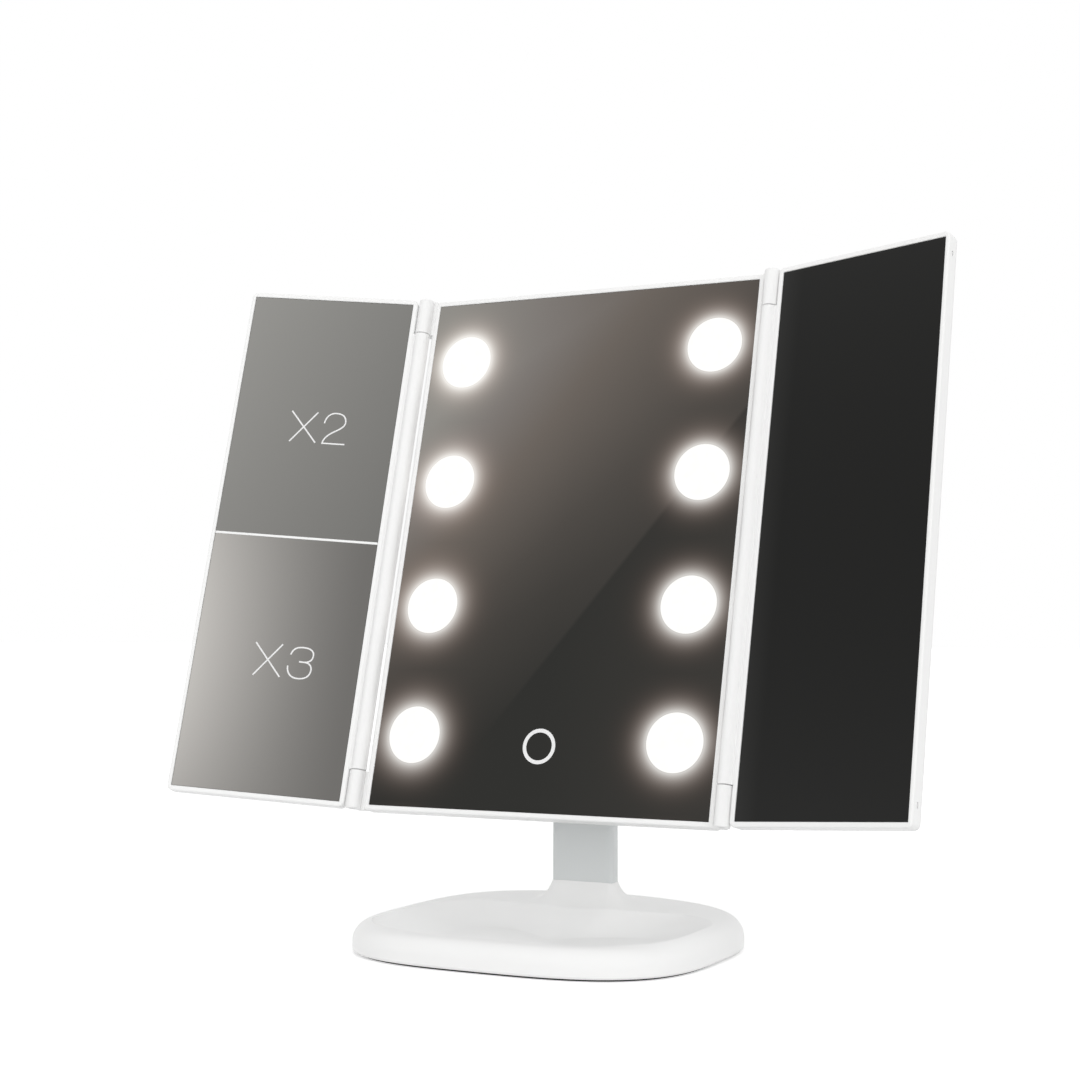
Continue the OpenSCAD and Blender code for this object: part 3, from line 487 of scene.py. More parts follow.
def cell_wrap():
    """Plain wrapping in two colours, with bare steel at the nub's end."""
    g = Graph("cell_wrap")
    low, high = node_box("battery_1", HEAD)
    share = g.between(g.along(HEAD, 2), low.z, high.z)
    tint = g.ramp(share, [(0.0, (0.03, 0.03, 0.032)), (0.7, (0.46, 0.21, 0.04)), (0.965, (0.6, 0.6, 0.6))])
    tint.node.color_ramp.interpolation = "CONSTANT"
    g.set(Base_Color=tint, Metallic=g.between(share, 0.96, 0.97))
    g.set(Roughness=g.between(g.noise(60), 0.3, 0.7, 0.28, 0.34))
    return g.material


def mirror(name, colour):
    """Silvered glass. Its colour is a painted reflection of a dim room, given by the colour function."""
    g = Graph(name)
    g.set(Metallic=1.0, Roughness=g.between(g.noise(45, 4), 0.3, 0.7, 0.035, 0.05))
    g.set(Base_Color=colour(g))
    return g


def shade(g, level, tint=(1, 1, 0.985)):
    """The linear colour of a display level from 0 to 255."""
    light = g.math("POWER", g.math("DIVIDE", level, 255.0), 2.2)
    scale = {0: (*tint,), "Scale": light}
    return g.add("ShaderNodeVectorMath", scale, operation="SCALE").outputs["Vector"]


GLASS_LOW, GLASS_HIGH = node_box("centre_glass", HEAD)
GLASS_HW = GLASS_HIGH.x
GLASS_HH = GLASS_HIGH.z
GLASS_T = GLASS_HIGH.y - GLASS_LOW.y
LAMPS = [node_box(f"diffuser_{number}", HEAD) for number in range(1, 9)]
LAMP_CENTRES = [((low.x + high.x) / 2, (low.z + high.z) / 2) for low, high in LAMPS]
LAMP_R = (LAMPS[0][1].x - LAMPS[0][0].x) / 2 - 0.3
LAMP_X = abs(LAMP_CENTRES[0][0])
LAMP_PITCH = LAMP_CENTRES[0][1] - LAMP_CENTRES[1][1]


# strength and warm tint of the painted glow that the glass gives off round each lamp window
PAINTED_BLOOM = 0.6
# how far the painted glow reaches over the glass, in millimetres, for red, green and blue
PAINTED_BLOOM_REACH = (2.95, 2.7, 2.6)
PAINTED_BLOOM_TINT = (1.0, 0.968, 0.93)


def painted_centre_reflection(g):
    """A painted reflection: a pale wall at the upper left that fades downward, cut off by a slanting edge at
    the lower right.
    """
    x, z = g.along(HEAD, 0), g.along(HEAD, 2)
    slope = g.math("SUBTRACT", z, g.math("MULTIPLY", x, 0.6))
    fall = g.ramp(g.between(slope, -80, 120), [(0.05, 0.0), (0.3, 0.2), (0.62, 0.64), (0.92, 1.0)])
    height = g.math("MULTIPLY_ADD", x, -0.41, 62.0)
    dark = g.math("MULTIPLY_ADD", g.math("MAXIMUM", x, 0.0), 0.09, 50.0)
    slant = g.math("MULTIPLY", g.math("SUBTRACT", x, 77.1), 1.374)
    edge = g.math("SUBTRACT", g.math("SUBTRACT", z, 58.0), slant)
    side = g.between(edge, -1.5, 1.5)
    lit = g.math("MULTIPLY", g.math("MULTIPLY", fall, height), side)
    level = g.math("DIVIDE", g.math("ADD", dark, lit), 255.0)
    stops = [(50, 50, 48), (79, 75, 71), (108, 101, 95), (125, 120, 116), (143, 141, 136)]
    return g.ramp(level, [(stop[1] / 255, linear(*stop)) for stop in stops])


def two_way_mirror():
    """Its colour is a painted reflection. Round each lamp window the glass gives off a painted glow that
    fades outward.
    """
    g = mirror("two_way_mirror", painted_centre_reflection)
    # painted glow: distance from the nearest lamp window's rim, fading per colour channel and reaching a
    # little further on the left
    x = g.math("SUBTRACT", g.math("ABSOLUTE", g.along(HEAD, 0)), LAMP_X)
    from_lamp = g.math("SUBTRACT", g.along(HEAD, 2), LAMP_CENTRES[0][1])
    z = g.math("WRAP", from_lamp, LAMP_PITCH / 2, -LAMP_PITCH / 2)
    distance = g.math("SQRT", g.math("ADD", g.math("MULTIPLY", x, x), g.math("MULTIPLY", z, z)))
    beyond = g.math("MAXIMUM", g.math("SUBTRACT", distance, LAMP_R + 0.6), 0.0)
    wide = g.between(g.along(HEAD, 0), -LAMP_X, LAMP_X, 1.2, 1.0)
    glow = g.add("ShaderNodeCombineColor")
    for channel, (reach, level) in enumerate(zip(PAINTED_BLOOM_REACH, PAINTED_BLOOM_TINT)):
        fall = g.math("EXPONENT", g.math("DIVIDE", g.math("DIVIDE", beyond, -reach), wide))
        g.feed(glow.inputs[channel], g.math("MULTIPLY", fall, PAINTED_BLOOM * level))
    g.set(Emission_Color=glow.outputs[0], Emission_Strength=1.0)
    return g.material


def painted_upper_reflection(g):
    # painted reflection: lighter toward the outer edge and the top, in a warm tint
    x, z = g.along(LEFT_WING, 0), g.along(LEFT_WING, 2)
    level = g.math("MULTIPLY_ADD", g.math("SUBTRACT", x, 9.0), 0.25, 125.0)
    level = g.math("MULTIPLY_ADD", g.math("SUBTRACT", z, 58.0), 0.1, level)
    return shade(g, level, (1, 0.985, 0.935))


def painted_lower_reflection(g):
    """A painted reflection, brightest near the outer edge, at the middle of its height."""
    x, z = g.along(LEFT_WING, 0), g.along(LEFT_WING, 2)
    across = g.math("MAXIMUM", g.math("DIVIDE", g.math("SUBTRACT", x, 9.0), 70.0), 0.0)
    off_middle = g.math("POWER", g.math("ADD", z, 52.0), 2.0)
    height = g.math("SUBTRACT", 78.0, g.math("MULTIPLY", off_middle, 0.005))
    level = g.math("MULTIPLY_ADD", g.math("POWER", across, 1.25), height, 113.0)
    return shade(g, level, (1, 0.968, 0.92))


def painted_right_reflection(g):
    # painted reflection: dark, a little lighter toward the top and bottom and near the hinge
    z = g.along(RIGHT_WING, 2)
    level = g.math("MULTIPLY_ADD", g.math("POWER", g.math("DIVIDE", z, 114.0), 2.0), 5.0, 43.0)
    near = g.between(g.along(RIGHT_WING, 0), 16, 6, 0, 8)
    return shade(g, g.math("ADD", level, near), (1, 1, 0.97))


MAKERS = {
    "white_gloss": white_gloss, "white_back": white_back, "stem_grey": stem_grey, "rubber": rubber,
    "foam": foam, "steel": steel, "two_way_mirror": two_way_mirror, "lamp_window": lamp_window,
    "led": led, "print": print_ink, "circuit_board": circuit_board, "copper": copper,
    "black_plastic": black_plastic, "ribbon": ribbon, "cell_wrap": cell_wrap,
    "right_mirror": lambda: mirror("right_mirror", painted_right_reflection).material,
    "upper_mirror": lambda: mirror("upper_mirror", painted_upper_reflection).material,
    "lower_mirror": lambda: mirror("lower_mirror", painted_lower_reflection).material,
}
MADE = {}


def material(slot):
    if slot not in MADE:
        MADE[slot] = MAKERS[slot]()
    return MADE[slot]


def dress_nodes():
    """Every CAD node gets its slot's material, also where a piece stands for it."""
    for name, node in frame["nodes"].items():
        node.data.materials.clear()
        node.data.materials.append(material(SLOT[name]))


# ---------------------------------------------------------------- screws
def cross_recess(r, depth, top, axis, at):
    arms = []
    for a, b in ((r, r * 0.24), (r * 0.24, r)):
        u, v = at
        t0, t1 = sorted((top - depth, top + 0.5) if depth > 0 else (top - 0.5, top - depth))
        arms.append(plate(u - a, u + a, v - b, v + b, t0, t1, 0.05, 0.01, 0.01, axis))
    return arms


def screw(r, head_r, head_t, seat, tip, axis="Y", at=(0, 0)):
    """A pan-head screw with a cross recess. Its head lies beyond the seat, seen from the tip."""
    way = 1 if seat > tip else -1
    dome = [(head_r - head_r * 0.42 * (k / 6) ** 2.2,
             seat + way * head_t * (0.45 + 0.55 * math.sin(math.pi / 12 * k))) for k in range(7)]
    profile = [(0.15, tip), (r * 0.8, tip + way * 0.8), (r, tip + way * 1.4), (r, seat - way * 0.12),
               (r + 0.12, seat), (head_r - 0.08, seat), (head_r, seat + way * 0.1)] + dome
    made = turned(profile, axis, at, steps=40)
    return cut(made, *cross_recess(head_r * 0.5, way * head_t * 0.55, seat + way * head_t, axis, at))


# ---------------------------------------------------------------- stand
STEM_LOW, STEM_HIGH = node_box("stem", STAND)
STEM_HW = STEM_HIGH.x
STEM_Y = JOINTS["head_tilt"]["pos_m"][1] / MM
PIVOT_Z = JOINTS["head_tilt"]["pos_m"][2] / MM
BARREL_R = STEM_HIGH.z - PIVOT_Z
STEM_T = 7.4
STEM_EDGE = 2.2
STEM_FOOT = STEM_LOW.z
SHAFT_HOLE_R = 2.55

BASE_LOW, BASE_HIGH = node_box("base_tray", STAND)
BASE_HW = BASE_HIGH.x
BASE_HD = BASE_HIGH.y
FOOT_H = BASE_LOW.z
SOCKET_Z = 24.0
BASE_N = 3.1
RIM_Z = 12.7
RIM_W = 9.3
TRAY_N = 3.5
TRAY_HW = BASE_HW - RIM_W
TRAY_FRONT = BASE_HD - RIM_W
TRAY_BACK = STEM_Y + 5.5
TRAY_HD = (TRAY_FRONT + TRAY_BACK) / 2
TRAY_MID = Vector((0, (TRAY_BACK - TRAY_FRONT) / 2))
TRAY_FLOOR = 3.9
TRAY_RUN = 24.0
TRAY_REACH = 0.85  # the slope's greatest share of the way from the lip to the tray's middle
# how far the tray's back lip bows forward round the stem, and over what width
DENT, DENT_W = 18.3, 43
LIP_DROP = 0.5
# the slope starts this much inside and below the lip
LIP_STEP = 0.5
# the mound's height, the place of its top and its half widths
MOUND_H, MOUND_Y = 3.8, STEM_Y + 13.3
MOUND_WX, MOUND_WY = 55, 20
CREST_INSET = 7.2
CREST_DROP = 8.0
FILLET_W = 3.5
SOCKET_FIT = 0.1
BASE_STEPS = 360
BASE_TURN = full_turn(BASE_STEPS)
CREST_RINGS, RIM_RINGS, SLOPE_RINGS = 14, 40, 24
FLOOR_SHARES = (0.75, 0.5, 0.25, 0.02)
# the wall's foot: how far each ring is drawn in, and its height above the wall's lower edge
FOOT_ROUND = ((0.75, 0), (0.6, 0.15), (0.18, 0.55), (0, 1.1))
RECESS_INSET, RECESS_H = 1.8, 1.2


def oval_point(a, hw, hd, n):
    """A rounded square's point in the direction of an angle."""
    c, s = math.cos(a), math.sin(a)
    return Vector((c, s)) * (abs(c / hw) ** n + abs(s / hd) ** n) ** (-1 / n)


def base_point(a, inset):
    """A point on the base's outer edge, drawn in by an inset."""
    return oval_point(a, BASE_HW - inset, BASE_HD - inset, BASE_N)


def lip_point(a):
    """A point on the tray's lip, whose back bows forward round the stem."""
    p = oval_point(a, TRAY_HW, TRAY_HD, TRAY_N)
    dent = DENT * math.exp(-(p.x / DENT_W) ** 2) * max(0, p.y / TRAY_HD) ** 2
    return TRAY_MID + p - Vector((0, dent))


def stem_gap(p):
    """Distance from the stem's socket, below zero inside it."""
    dx, dy = abs(p.x) - STEM_HW + STEM_EDGE, abs(p.y - STEM_Y) - STEM_T / 2 + STEM_EDGE
    return math.hypot(max(0, dx), max(0, dy)) + min(max(dx, dy), 0) - STEM_EDGE - SOCKET_FIT


def rise(p):
    """Height that the broad mound and the socket's fillet add to the rim."""
    gap = max(stem_gap(p), -2)
    mound = MOUND_H * math.exp(-(p.x / MOUND_WX) ** 2 - ((p.y - MOUND_Y) / MOUND_WY) ** 2)
    return mound + (SOCKET_Z - RIM_Z - mound) * math.exp(-gap / FILLET_W)


def tray_ring(inward, height):
    """A ring inside the lip. Its height is a share of the way from the floor up to the lip."""
    ring = []
    for a in BASE_TURN:
        lip = lip_point(a)
        way = TRAY_MID - lip
        top = RIM_Z + rise(lip) - LIP_DROP - LIP_STEP
        p = lip + way * min(inward / way.length, TRAY_REACH)
        ring.append((*p, TRAY_FLOOR + (top - TRAY_FLOOR) * height))
    return ring


def base_rings():
    """Rings from the underside up the wall, over the crest, across the rim and down the tray's slope."""
    rings = [[(*base_point(a, inset), FOOT_H + z) for a in BASE_TURN] for inset, z in FOOT_ROUND]
    tops = [RIM_Z + rise(base_point(a, CREST_INSET)) for a in BASE_TURN]
    for k in range(CREST_RINGS):
        turn = math.pi / 2 * k / CREST_RINGS
        inset, drop = CREST_INSET * (1 - math.cos(turn)), CREST_DROP * (1 - math.sin(turn))
        rings.append([(*base_point(a, inset), top - drop) for a, top in zip(BASE_TURN, tops)])
    for k in range(RIM_RINGS + 1):
        t = k / RIM_RINGS
        points = [base_point(a, CREST_INSET).lerp(lip_point(a), t) for a in BASE_TURN]
        rings.append([(*p, RIM_Z + rise(p) - LIP_DROP * t ** 6) for p in points])
    for k in range(SLOPE_RINGS + 1):
        t = k / SLOPE_RINGS
        rings.append(tray_ring(LIP_STEP + TRAY_RUN * t, (1 - t) ** 2))
    edge = rings[-1]
    for share in FLOOR_SHARES:
        rings.append([(*TRAY_MID.lerp(Vector(p[:2]), share), TRAY_FLOOR) for p in edge])
    return rings


def outline_plate(point, t0, t1, low, high):
    """A plate over an outline, given as a function of an angle and an inset."""
    return loft([[(*point(a, inset), t) for a in BASE_TURN] for inset, t in rounded_side(t0, t1, low, high)])


def base_screw_places():
    front = (BASE_HW - 17.5, -BASE_HD + 20)
    back = (BASE_HW - 27, BASE_HD - 14)
    return [(side * x, y) for side in (-1, 1) for x, y in (front, back)]


def make_base():
    recess = outline_plate(lambda a, inset: base_point(a, inset + RECESS_INSET),
                           FOOT_H - 1, FOOT_H + RECESS_H, 0.01, 0.01)
    hw, hd = STEM_HW + SOCKET_FIT, STEM_T / 2 + SOCKET_FIT
    above = plate(-hw - 3, hw + 3, STEM_Y - hd - 3, STEM_Y + hd + 3, SOCKET_Z, SOCKET_Z + 20,
                  1, 0.01, 0.01, "Z")
    socket = plate(-hw, hw, STEM_Y - hd, STEM_Y + hd, STEM_FOOT, SOCKET_Z + 5,
                   STEM_EDGE + SOCKET_FIT, 0.01, 0.01, "Z")
    body = combine(loft(base_rings()), [recess, above, socket], "DIFFERENCE", "EXACT")
    piece("base_tray_body", body, STAND, "base_tray")


def make_underside():
    cover = outline_plate(lambda a, inset: base_point(a, inset + RECESS_INSET + 0.1),
                          FOOT_H, FOOT_H + RECESS_H, 0.25, 0.05)
    holes = [rod(1.4, FOOT_H - 1, FOOT_H + 3, "Z", at) for at in base_screw_places()]
    piece("bottom_cover_plate", cut(cover, *holes), STAND, "base_bottom_cover")
    section = [(2.6 + inset, z) for inset, z in rounded_side(0, FOOT_H, 0.35, 0.05)]
    section += [(8.6 - inset, z) for inset, z in reversed(rounded_side(0, FOOT_H, 0.35, 0.05))]
    ring = loft([[(*base_point(a, inset), z) for a in BASE_TURN] for inset, z in section], ring=True)
    notches = [rod(3.1, -1, FOOT_H + 1, "Z", at) for at in base_screw_places()]
    piece("foot_ring_rubber", cut(ring, *notches), STAND, "foot_ring")
    screws = [screw(1.3, 2.6, FOOT_H - 0.2, FOOT_H, 8, "Z", at) for at in base_screw_places()]
    piece("base_screws_cross", gather(screws), STAND, "base_screws")


def make_stem():
    bar = plate(-STEM_HW, STEM_HW, STEM_Y - STEM_T / 2, STEM_Y + STEM_T / 2, STEM_FOOT, PIVOT_Z,
                STEM_EDGE, 0.3, 0.01, "Z")
    barrel = rod(BARREL_R, -STEM_HW, STEM_HW, "X", (STEM_Y, PIVOT_Z), 0.5, 0.5)
    bore = rod(SHAFT_HOLE_R, -STEM_HW - 1, STEM_HW + 1, "X", (STEM_Y, PIVOT_Z))
    piece("stem_bar", cut(union(bar, barrel), bore), STAND, "stem")


# ---------------------------------------------------------------- centre panel
WING_LOW, WING_HIGH = node_box("right_wing_frame", RIGHT_WING)
KNUCKLE_R = -WING_LOW.x
HINGE_X, HINGE_Y = joint_place("right_wing_hinge")[:2]
FRAME_HH = node_box("centre_frame", HEAD)[1].z
FRAME_HW = HINGE_X - KNUCKLE_R - 0.3
FRAME_D = 7.0
FRAME_CORNER = 1.5
RIM_PROUD = 0.35
RIM_ROUND = 0.8
# the rim's inner edge, from the pocket's wall to the rim's front: distance outward and depth
RIM_INNER = [(0, 0.33), (0.12, 0.17), (0.3, 0.06), (0.55, 0)]
FLOOR_Y = 2.4
FLOOR_BACK = 3.8
POCKET_HW = GLASS_HW + 0.1
POCKET_HH = GLASS_HH + 0.1
KNUCKLE_Z = FRAME_HH - 16.4
KNUCKLE_GAP = 0.25
PIN_R = 1.0
TOUCH_LOW, TOUCH_HIGH = node_box("touch_ring", HEAD)
TOUCH_Z = (TOUCH_LOW.z + TOUCH_HIGH.z) / 2
TOUCH_R = (TOUCH_HIGH.x - TOUCH_LOW.x) / 2
TOUCH_LINE = 1.6

HOUSING_BACK = node_box("rear_housing", HEAD)[1].y
DECK_HW = FRAME_HW - 8.7
DECK_HH = FRAME_HH - 8.8
DECK_R = 12.0
HOUSING_WALL = 1.8
SCREW_R = 1.3
SCREW_HEAD_R = 2.6
WELL_Y = FLOOR_BACK + 6
HOUSING_SCREWS = [(side * (DECK_HW - 25), z) for side in (-1, 1) for z in (-(DECK_HH - 9), 0, DECK_HH - 9)]


def even_rect(hw, hh, r, y):
    return rect_loop(-hw, hw, -hh, hh, r, y)


def knuckle(place_x, low, high):
    """A hinge barrel along Z with softened rims."""
    return rod(KNUCKLE_R, low, high, "Z", (place_x, HINGE_Y), 0.35, 0.35)


def make_centre_frame():
    hw, hh, cavity_hh = FRAME_HW, FRAME_HH, POCKET_HH - 0.35
    loops = [even_rect(POCKET_HW, cavity_hh, 1, y) for y in (FLOOR_BACK, FRAME_D - 0.15)]
    loops.append(even_rect(POCKET_HW + 0.15, cavity_hh + 0.15, 1.15, FRAME_D))
    loops += [even_rect(hw - inset, hh - inset, FRAME_CORNER - inset, FRAME_D - RIM_PROUD - y)
              for inset, y in rounded_side(-RIM_PROUD, FRAME_D, 0.3, RIM_ROUND, 5)]
    loops += [even_rect(POCKET_HW + out, POCKET_HH + out, 0.15 + out, -RIM_PROUD + inward)
              for out, inward in reversed(RIM_INNER)]
    loops += [even_rect(POCKET_HW, POCKET_HH, 0.15, FLOOR_Y)]
    body = loft(loops)
    web_x = (FRAME_HW - 1, HINGE_X + 0.5)
    added = []
    for side, end in CORNERS:
        z0, z1 = sorted((end * (KNUCKLE_Z + KNUCKLE_GAP / 2), end * FRAME_HH))
        x0, x1 = sorted((side * web_x[0], side * web_x[1]))
        added.append(knuckle(side * HINGE_X, z0, z1))
        added.append(plate(x0, x1, z0, z1, HINGE_Y + 1.45, HINGE_Y + 5.85, 0.3, 0.01, 0.3))
    posts = [rod(3.1, FLOOR_BACK - 0.2, WELL_Y, "Y", at, 0, 0.2, 32) for at in HOUSING_SCREWS]
    body = union(body, *added, *posts)
    holes = [rod(LAMP_R + 0.5, FLOOR_Y - 1, FLOOR_BACK + 1, "Y", at) for at in LAMP_CENTRES]
    holes.append(rod(TOUCH_R + 1, FLOOR_Y - 1, FLOOR_BACK + 1, "Y", (0, TOUCH_Z)))
    holes += [rod(SCREW_R, FLOOR_BACK + 0.6, WELL_Y + 1, "Y", at, steps=32) for at in HOUSING_SCREWS]
    for side, end in CORNERS:
        at = (side * HINGE_X, HINGE_Y)
        holes.append(rod(PIN_R, end * (KNUCKLE_Z - 1), end * (FRAME_HH + 1), "Z", at, steps=32))
    piece("centre_frame_shell", cut(body, *holes), HEAD, "centre_frame")


def make_centre_glass():
    glass = plate(-GLASS_HW, GLASS_HW, -GLASS_HH, GLASS_HH, 0, GLASS_T, 0.2, 0.15, 0.1)
    windows = [rod(LAMP_R, -1, GLASS_T + 1, "Y", at, steps=96) for at in LAMP_CENTRES]
    piece("centre_glass_pane", cut(glass, *windows), HEAD, "centre_glass")
    for number, at in enumerate(LAMP_CENTRES, 1):
        lens = rod(LAMP_R, 0, GLASS_T, "Y", at, 0.05, 0.05, 96)
        piece(f"lamp_window_{number}", lens, HEAD, "centre_glass", slot="lamp_window")


def make_touch_ring():
    y0, y1, r0, r1 = TOUCH_LOW.y, 0.0, TOUCH_R - TOUCH_LINE, TOUCH_R
    section = [(r0, y1), (r0 + 0.03, y0), (r1 - 0.03, y0), (r1, y1)]
    piece("touch_ring_print", turned(section, "Y", (0, TOUCH_Z), ring=True, steps=96), HEAD, "touch_ring")


def make_hinge_pins():
    pins = []
    for side, end in CORNERS:
        t0, t1 = sorted((end * (KNUCKLE_Z - 12), end * (FRAME_HH - 0.5)))
        pins.append(rod(PIN_R, t0, t1, "Z", (side * HINGE_X, HINGE_Y), 0.2, 0.2, 32))
    piece("hinge_pins_steel", gather(pins), HEAD, "hinge_pins")


# ---------------------------------------------------------------- wings
WING_X0, WING_X1 = KNUCKLE_R + 0.45, WING_HIGH.x
WING_GLASS_LOW, WING_GLASS_HIGH = node_box("right_glass", RIGHT_WING)
WING_POCKET_X = (WING_GLASS_LOW.x - 0.1, WING_GLASS_HIGH.x + 0.1)
WING_FRONT_Y = WING_GLASS_LOW.y - RIM_PROUD
WING_FLOOR_Y = WING_GLASS_LOW.y + GLASS_T + 0.6
WING_BACK_Y = node_box("right_wing_cover", RIGHT_WING)[1].y
WING_COVER_Y = WING_BACK_Y - 1.4
WING_CORNER = 2.5
LEDGE_W = 3.2
LEDGE_T = 1.0
BARREL_Z = KNUCKLE_Z - KNUCKLE_GAP / 2
CATCH_Z = FRAME_HH - 8.8
CATCH_W = 2.2
CATCH_Y = WING_FLOOR_Y - 0.2


def wing_loop(x0, x1, hh, r, y):
    return rect_loop(x0, x1, -hh, hh, r, y)


def wing_frame_solid():
    x0, x1 = WING_X0, WING_X1
    p0, p1 = WING_POCKET_X
    section = [rect_loop(x0, x1, -FRAME_HH, FRAME_HH, WING_CORNER, y, "Y", inset)
               for inset, y in rounded_side(WING_FRONT_Y, WING_COVER_Y, 0.8, 0.12, 5)]
    section += [wing_loop(p0, p1, POCKET_HH, 0.2, y) for y in (WING_COVER_Y, WING_FLOOR_Y + LEDGE_T)]
    ledge = (p0 + LEDGE_W, p1 - LEDGE_W, POCKET_HH - LEDGE_W)
    section += [wing_loop(*ledge, 0.6, WING_FLOOR_Y + LEDGE_T), wing_loop(*ledge, 0.6, WING_FLOOR_Y)]
    section += [wing_loop(p0, p1, POCKET_HH, 0.2, WING_FLOOR_Y)]
    section += [wing_loop(p0 - out, p1 + out, POCKET_HH + out, 0.2 + out, WING_FRONT_Y + inward)
                for out, inward in RIM_INNER]
    tray = loft(section, ring=True)
    barrel = rod(KNUCKLE_R, -BARREL_Z, BARREL_Z, "Z", (0, 0), 0.35, 0.35)
    web = plate(-0.5, x0 + 0.6, -BARREL_Z, BARREL_Z, WING_GLASS_LOW.y - 0.05, WING_COVER_Y, 0.3, 0.01, 0.3)
    made = union(tray, barrel, web)
    cuts = []
    for end in (-1, 1):
        cuts.append(rod(PIN_R + 0.05, end * (KNUCKLE_Z - 13), end * (KNUCKLE_Z + 1), "Z", steps=32))
        z0, z1 = end * CATCH_Z - CATCH_W / 2, end * CATCH_Z + CATCH_W / 2
        cuts.append(plate(p1 - 1.7, p1 + 0.1, z0 - 0.3, z1 + 0.3, CATCH_Y - 0.4, WING_COVER_Y + 1,
                          0.05, 0.01, 0.01))
        cuts.append(plate(p1 - 1.1, x1 + 1, z0, z1, CATCH_Y, CATCH_Y + 1, 0.05, 0.01, 0.01))
    return cut(made, *cuts)


def wing_cover_solid():
    x0, x1 = WING_X0, WING_X1
    made = plate(x0, x1, -FRAME_HH, FRAME_HH, WING_COVER_Y, WING_BACK_Y, WING_CORNER, 0.12, 0.9)
    g0, g1 = WING_GLASS_LOW.x, WING_GLASS_HIGH.x
    added = []
    for end in (-1, 1):
        z0, z1 = end * CATCH_Z - CATCH_W / 2 + 0.1, end * CATCH_Z + CATCH_W / 2 - 0.1
        added.append(plate(g1 - 1.4, g1 - 0.2, z0, z1, WING_FLOOR_Y, WING_COVER_Y + 0.4, 0.1, 0.1, 0.01))
        added.append(plate(g1 - 0.5, g1 + 1.5, z0, z1, WING_FLOOR_Y, WING_FLOOR_Y + 0.7, 0.1, 0.1, 0.1))
    for share in (0.25, 0.5, 0.75):
        x = g0 + (g1 - g0) * share
        added.append(plate(x - 0.6, x + 0.6, 8 - GLASS_HH, GLASS_HH - 8, WING_FLOOR_Y, WING_COVER_Y + 0.4,
                           0.3, 0.2, 0.01))
    return union(made, *added)


def wing_pane(node, place):
    low, high = node_box(node, place)
    return plate(low.x, high.x, low.z, high.z, low.y, high.y, 0.2, 0.15, 0.1)


def make_wings():
    frames, covers = wing_frame_solid(), wing_cover_solid()
    piece("left_wing_shell", copy_of(frames), LEFT_WING, "left_wing_frame")
    piece("right_wing_shell", frames, RIGHT_WING, "right_wing_frame")
    piece("left_wing_back", copy_of(covers), LEFT_WING, "left_wing_cover")
    piece("right_wing_back", covers, RIGHT_WING, "right_wing_cover")
    panes = {"upper_left_glass": LEFT_WING, "lower_left_glass": LEFT_WING, "right_glass": RIGHT_WING}
    for node, place in panes.items():
        piece(node + "_pane", wing_pane(node, place), place, node)
    low, high = node_box("glass_divider", LEFT_WING)
    bar = plate(low.x, high.x, low.z, high.z, low.y, high.y, 0.05, 0.15, 0.05)
    piece("glass_divider_bar", bar, LEFT_WING, "glass_divider")


# ---------------------------------------------------------------- printed marks
STROKE = 0.65
MARK_H = 14.6
CROSS_W = 13.0
CROSS_GAP = 2.9
UPPER_MARK = (55, 45)
LOWER_MARK = (54, -63.4)
CURVE_STEPS = 18


def bezier(a, b, c, d):
    """Points along a cubic curve."""
    points = []
    for k in range(CURVE_STEPS + 1):
        t = k / CURVE_STEPS
        weights = ((1 - t) ** 3, 3 * t * (1 - t) ** 2, 3 * t * t * (1 - t), t ** 3)
        points.append([sum(w * p[i] for w, p in zip(weights, (a, b, c, d))) for i in (0, 1)])
    return points


def stroke(points, corner):
    """A printed line of even width along points, read from left to right by the viewer."""
    path = [Vector(points[0])]
    path += [Vector(p) for p in points[1:] if (Vector(p) - path[-1]).length > 0.01]
    rails = ([], [])
    for i, p in enumerate(path):
        along = (path[min(i + 1, len(path) - 1)] - path[max(i - 1, 0)]).normalized()
        side = Vector((-along.y, along.x)) * STROKE / 2
        rails[0].append(p + side)
        rails[1].append(p - side)
    ink_y, glass_y = WING_GLASS_LOW.y - 0.08, WING_GLASS_LOW.y
    rows = [[(corner[0] - p.x, y, corner[1] + p.y) for p in rail]
            for rail in rails for y in (ink_y, glass_y)]
    order = (rows[0], rows[1], rows[3], rows[2])
    return loft([[row[i] for row in order] for i in range(len(path))])


def make_marks():
    two = bezier((0, 9.6), (0.4, 13.2), (2.6, 14.6), (4.9, 14.6))
    two += bezier((4.9, 14.6), (8, 14.6), (9.8, 13.2), (9.8, 10.5))
    two += bezier((9.8, 10.5), (9.8, 6.2), (1.2, 6), (0.3, 0))
    three_top = bezier((0.6, 10.4), (1.4, 13.4), (3.4, 13.9), (5.6, 13.9))
    three_top += bezier((5.6, 13.9), (9, 13.9), (10.8, 12.8), (10.8, 10.7))
    three_top += bezier((10.8, 10.7), (10.8, 8.4), (9.2, 7.4), (7, 7.4)) + [[4.8, 7.5]]
    three_foot = bezier((7.4, 7.4), (9.6, 7.2), (10.8, 6), (10.7, 4))
    three_foot += bezier((10.7, 4), (10.5, 1.4), (8.6, 0), (5.5, 0))
    three_foot += bezier((5.5, 0), (2.2, 0), (0, 1.8), (0, 5.4))
    cross = ([[0, MARK_H], [CROSS_W, 0]], [[CROSS_W - 0.7, MARK_H], [0.8, 0]])
    shift = CROSS_W + CROSS_GAP
    marks = []
    for corner, figure in ((UPPER_MARK, (two, [[0, 0], [10.8, 0]])), (LOWER_MARK, (three_top, three_foot))):
        lines = [stroke(line, corner) for line in cross]
        marks.append(union(*lines))
        lines = [stroke(line, (corner[0] - shift, corner[1])) for line in figure]
        marks.append(union(*lines))
    piece("magnification_print", gather(marks), LEFT_WING, "magnification_marks")


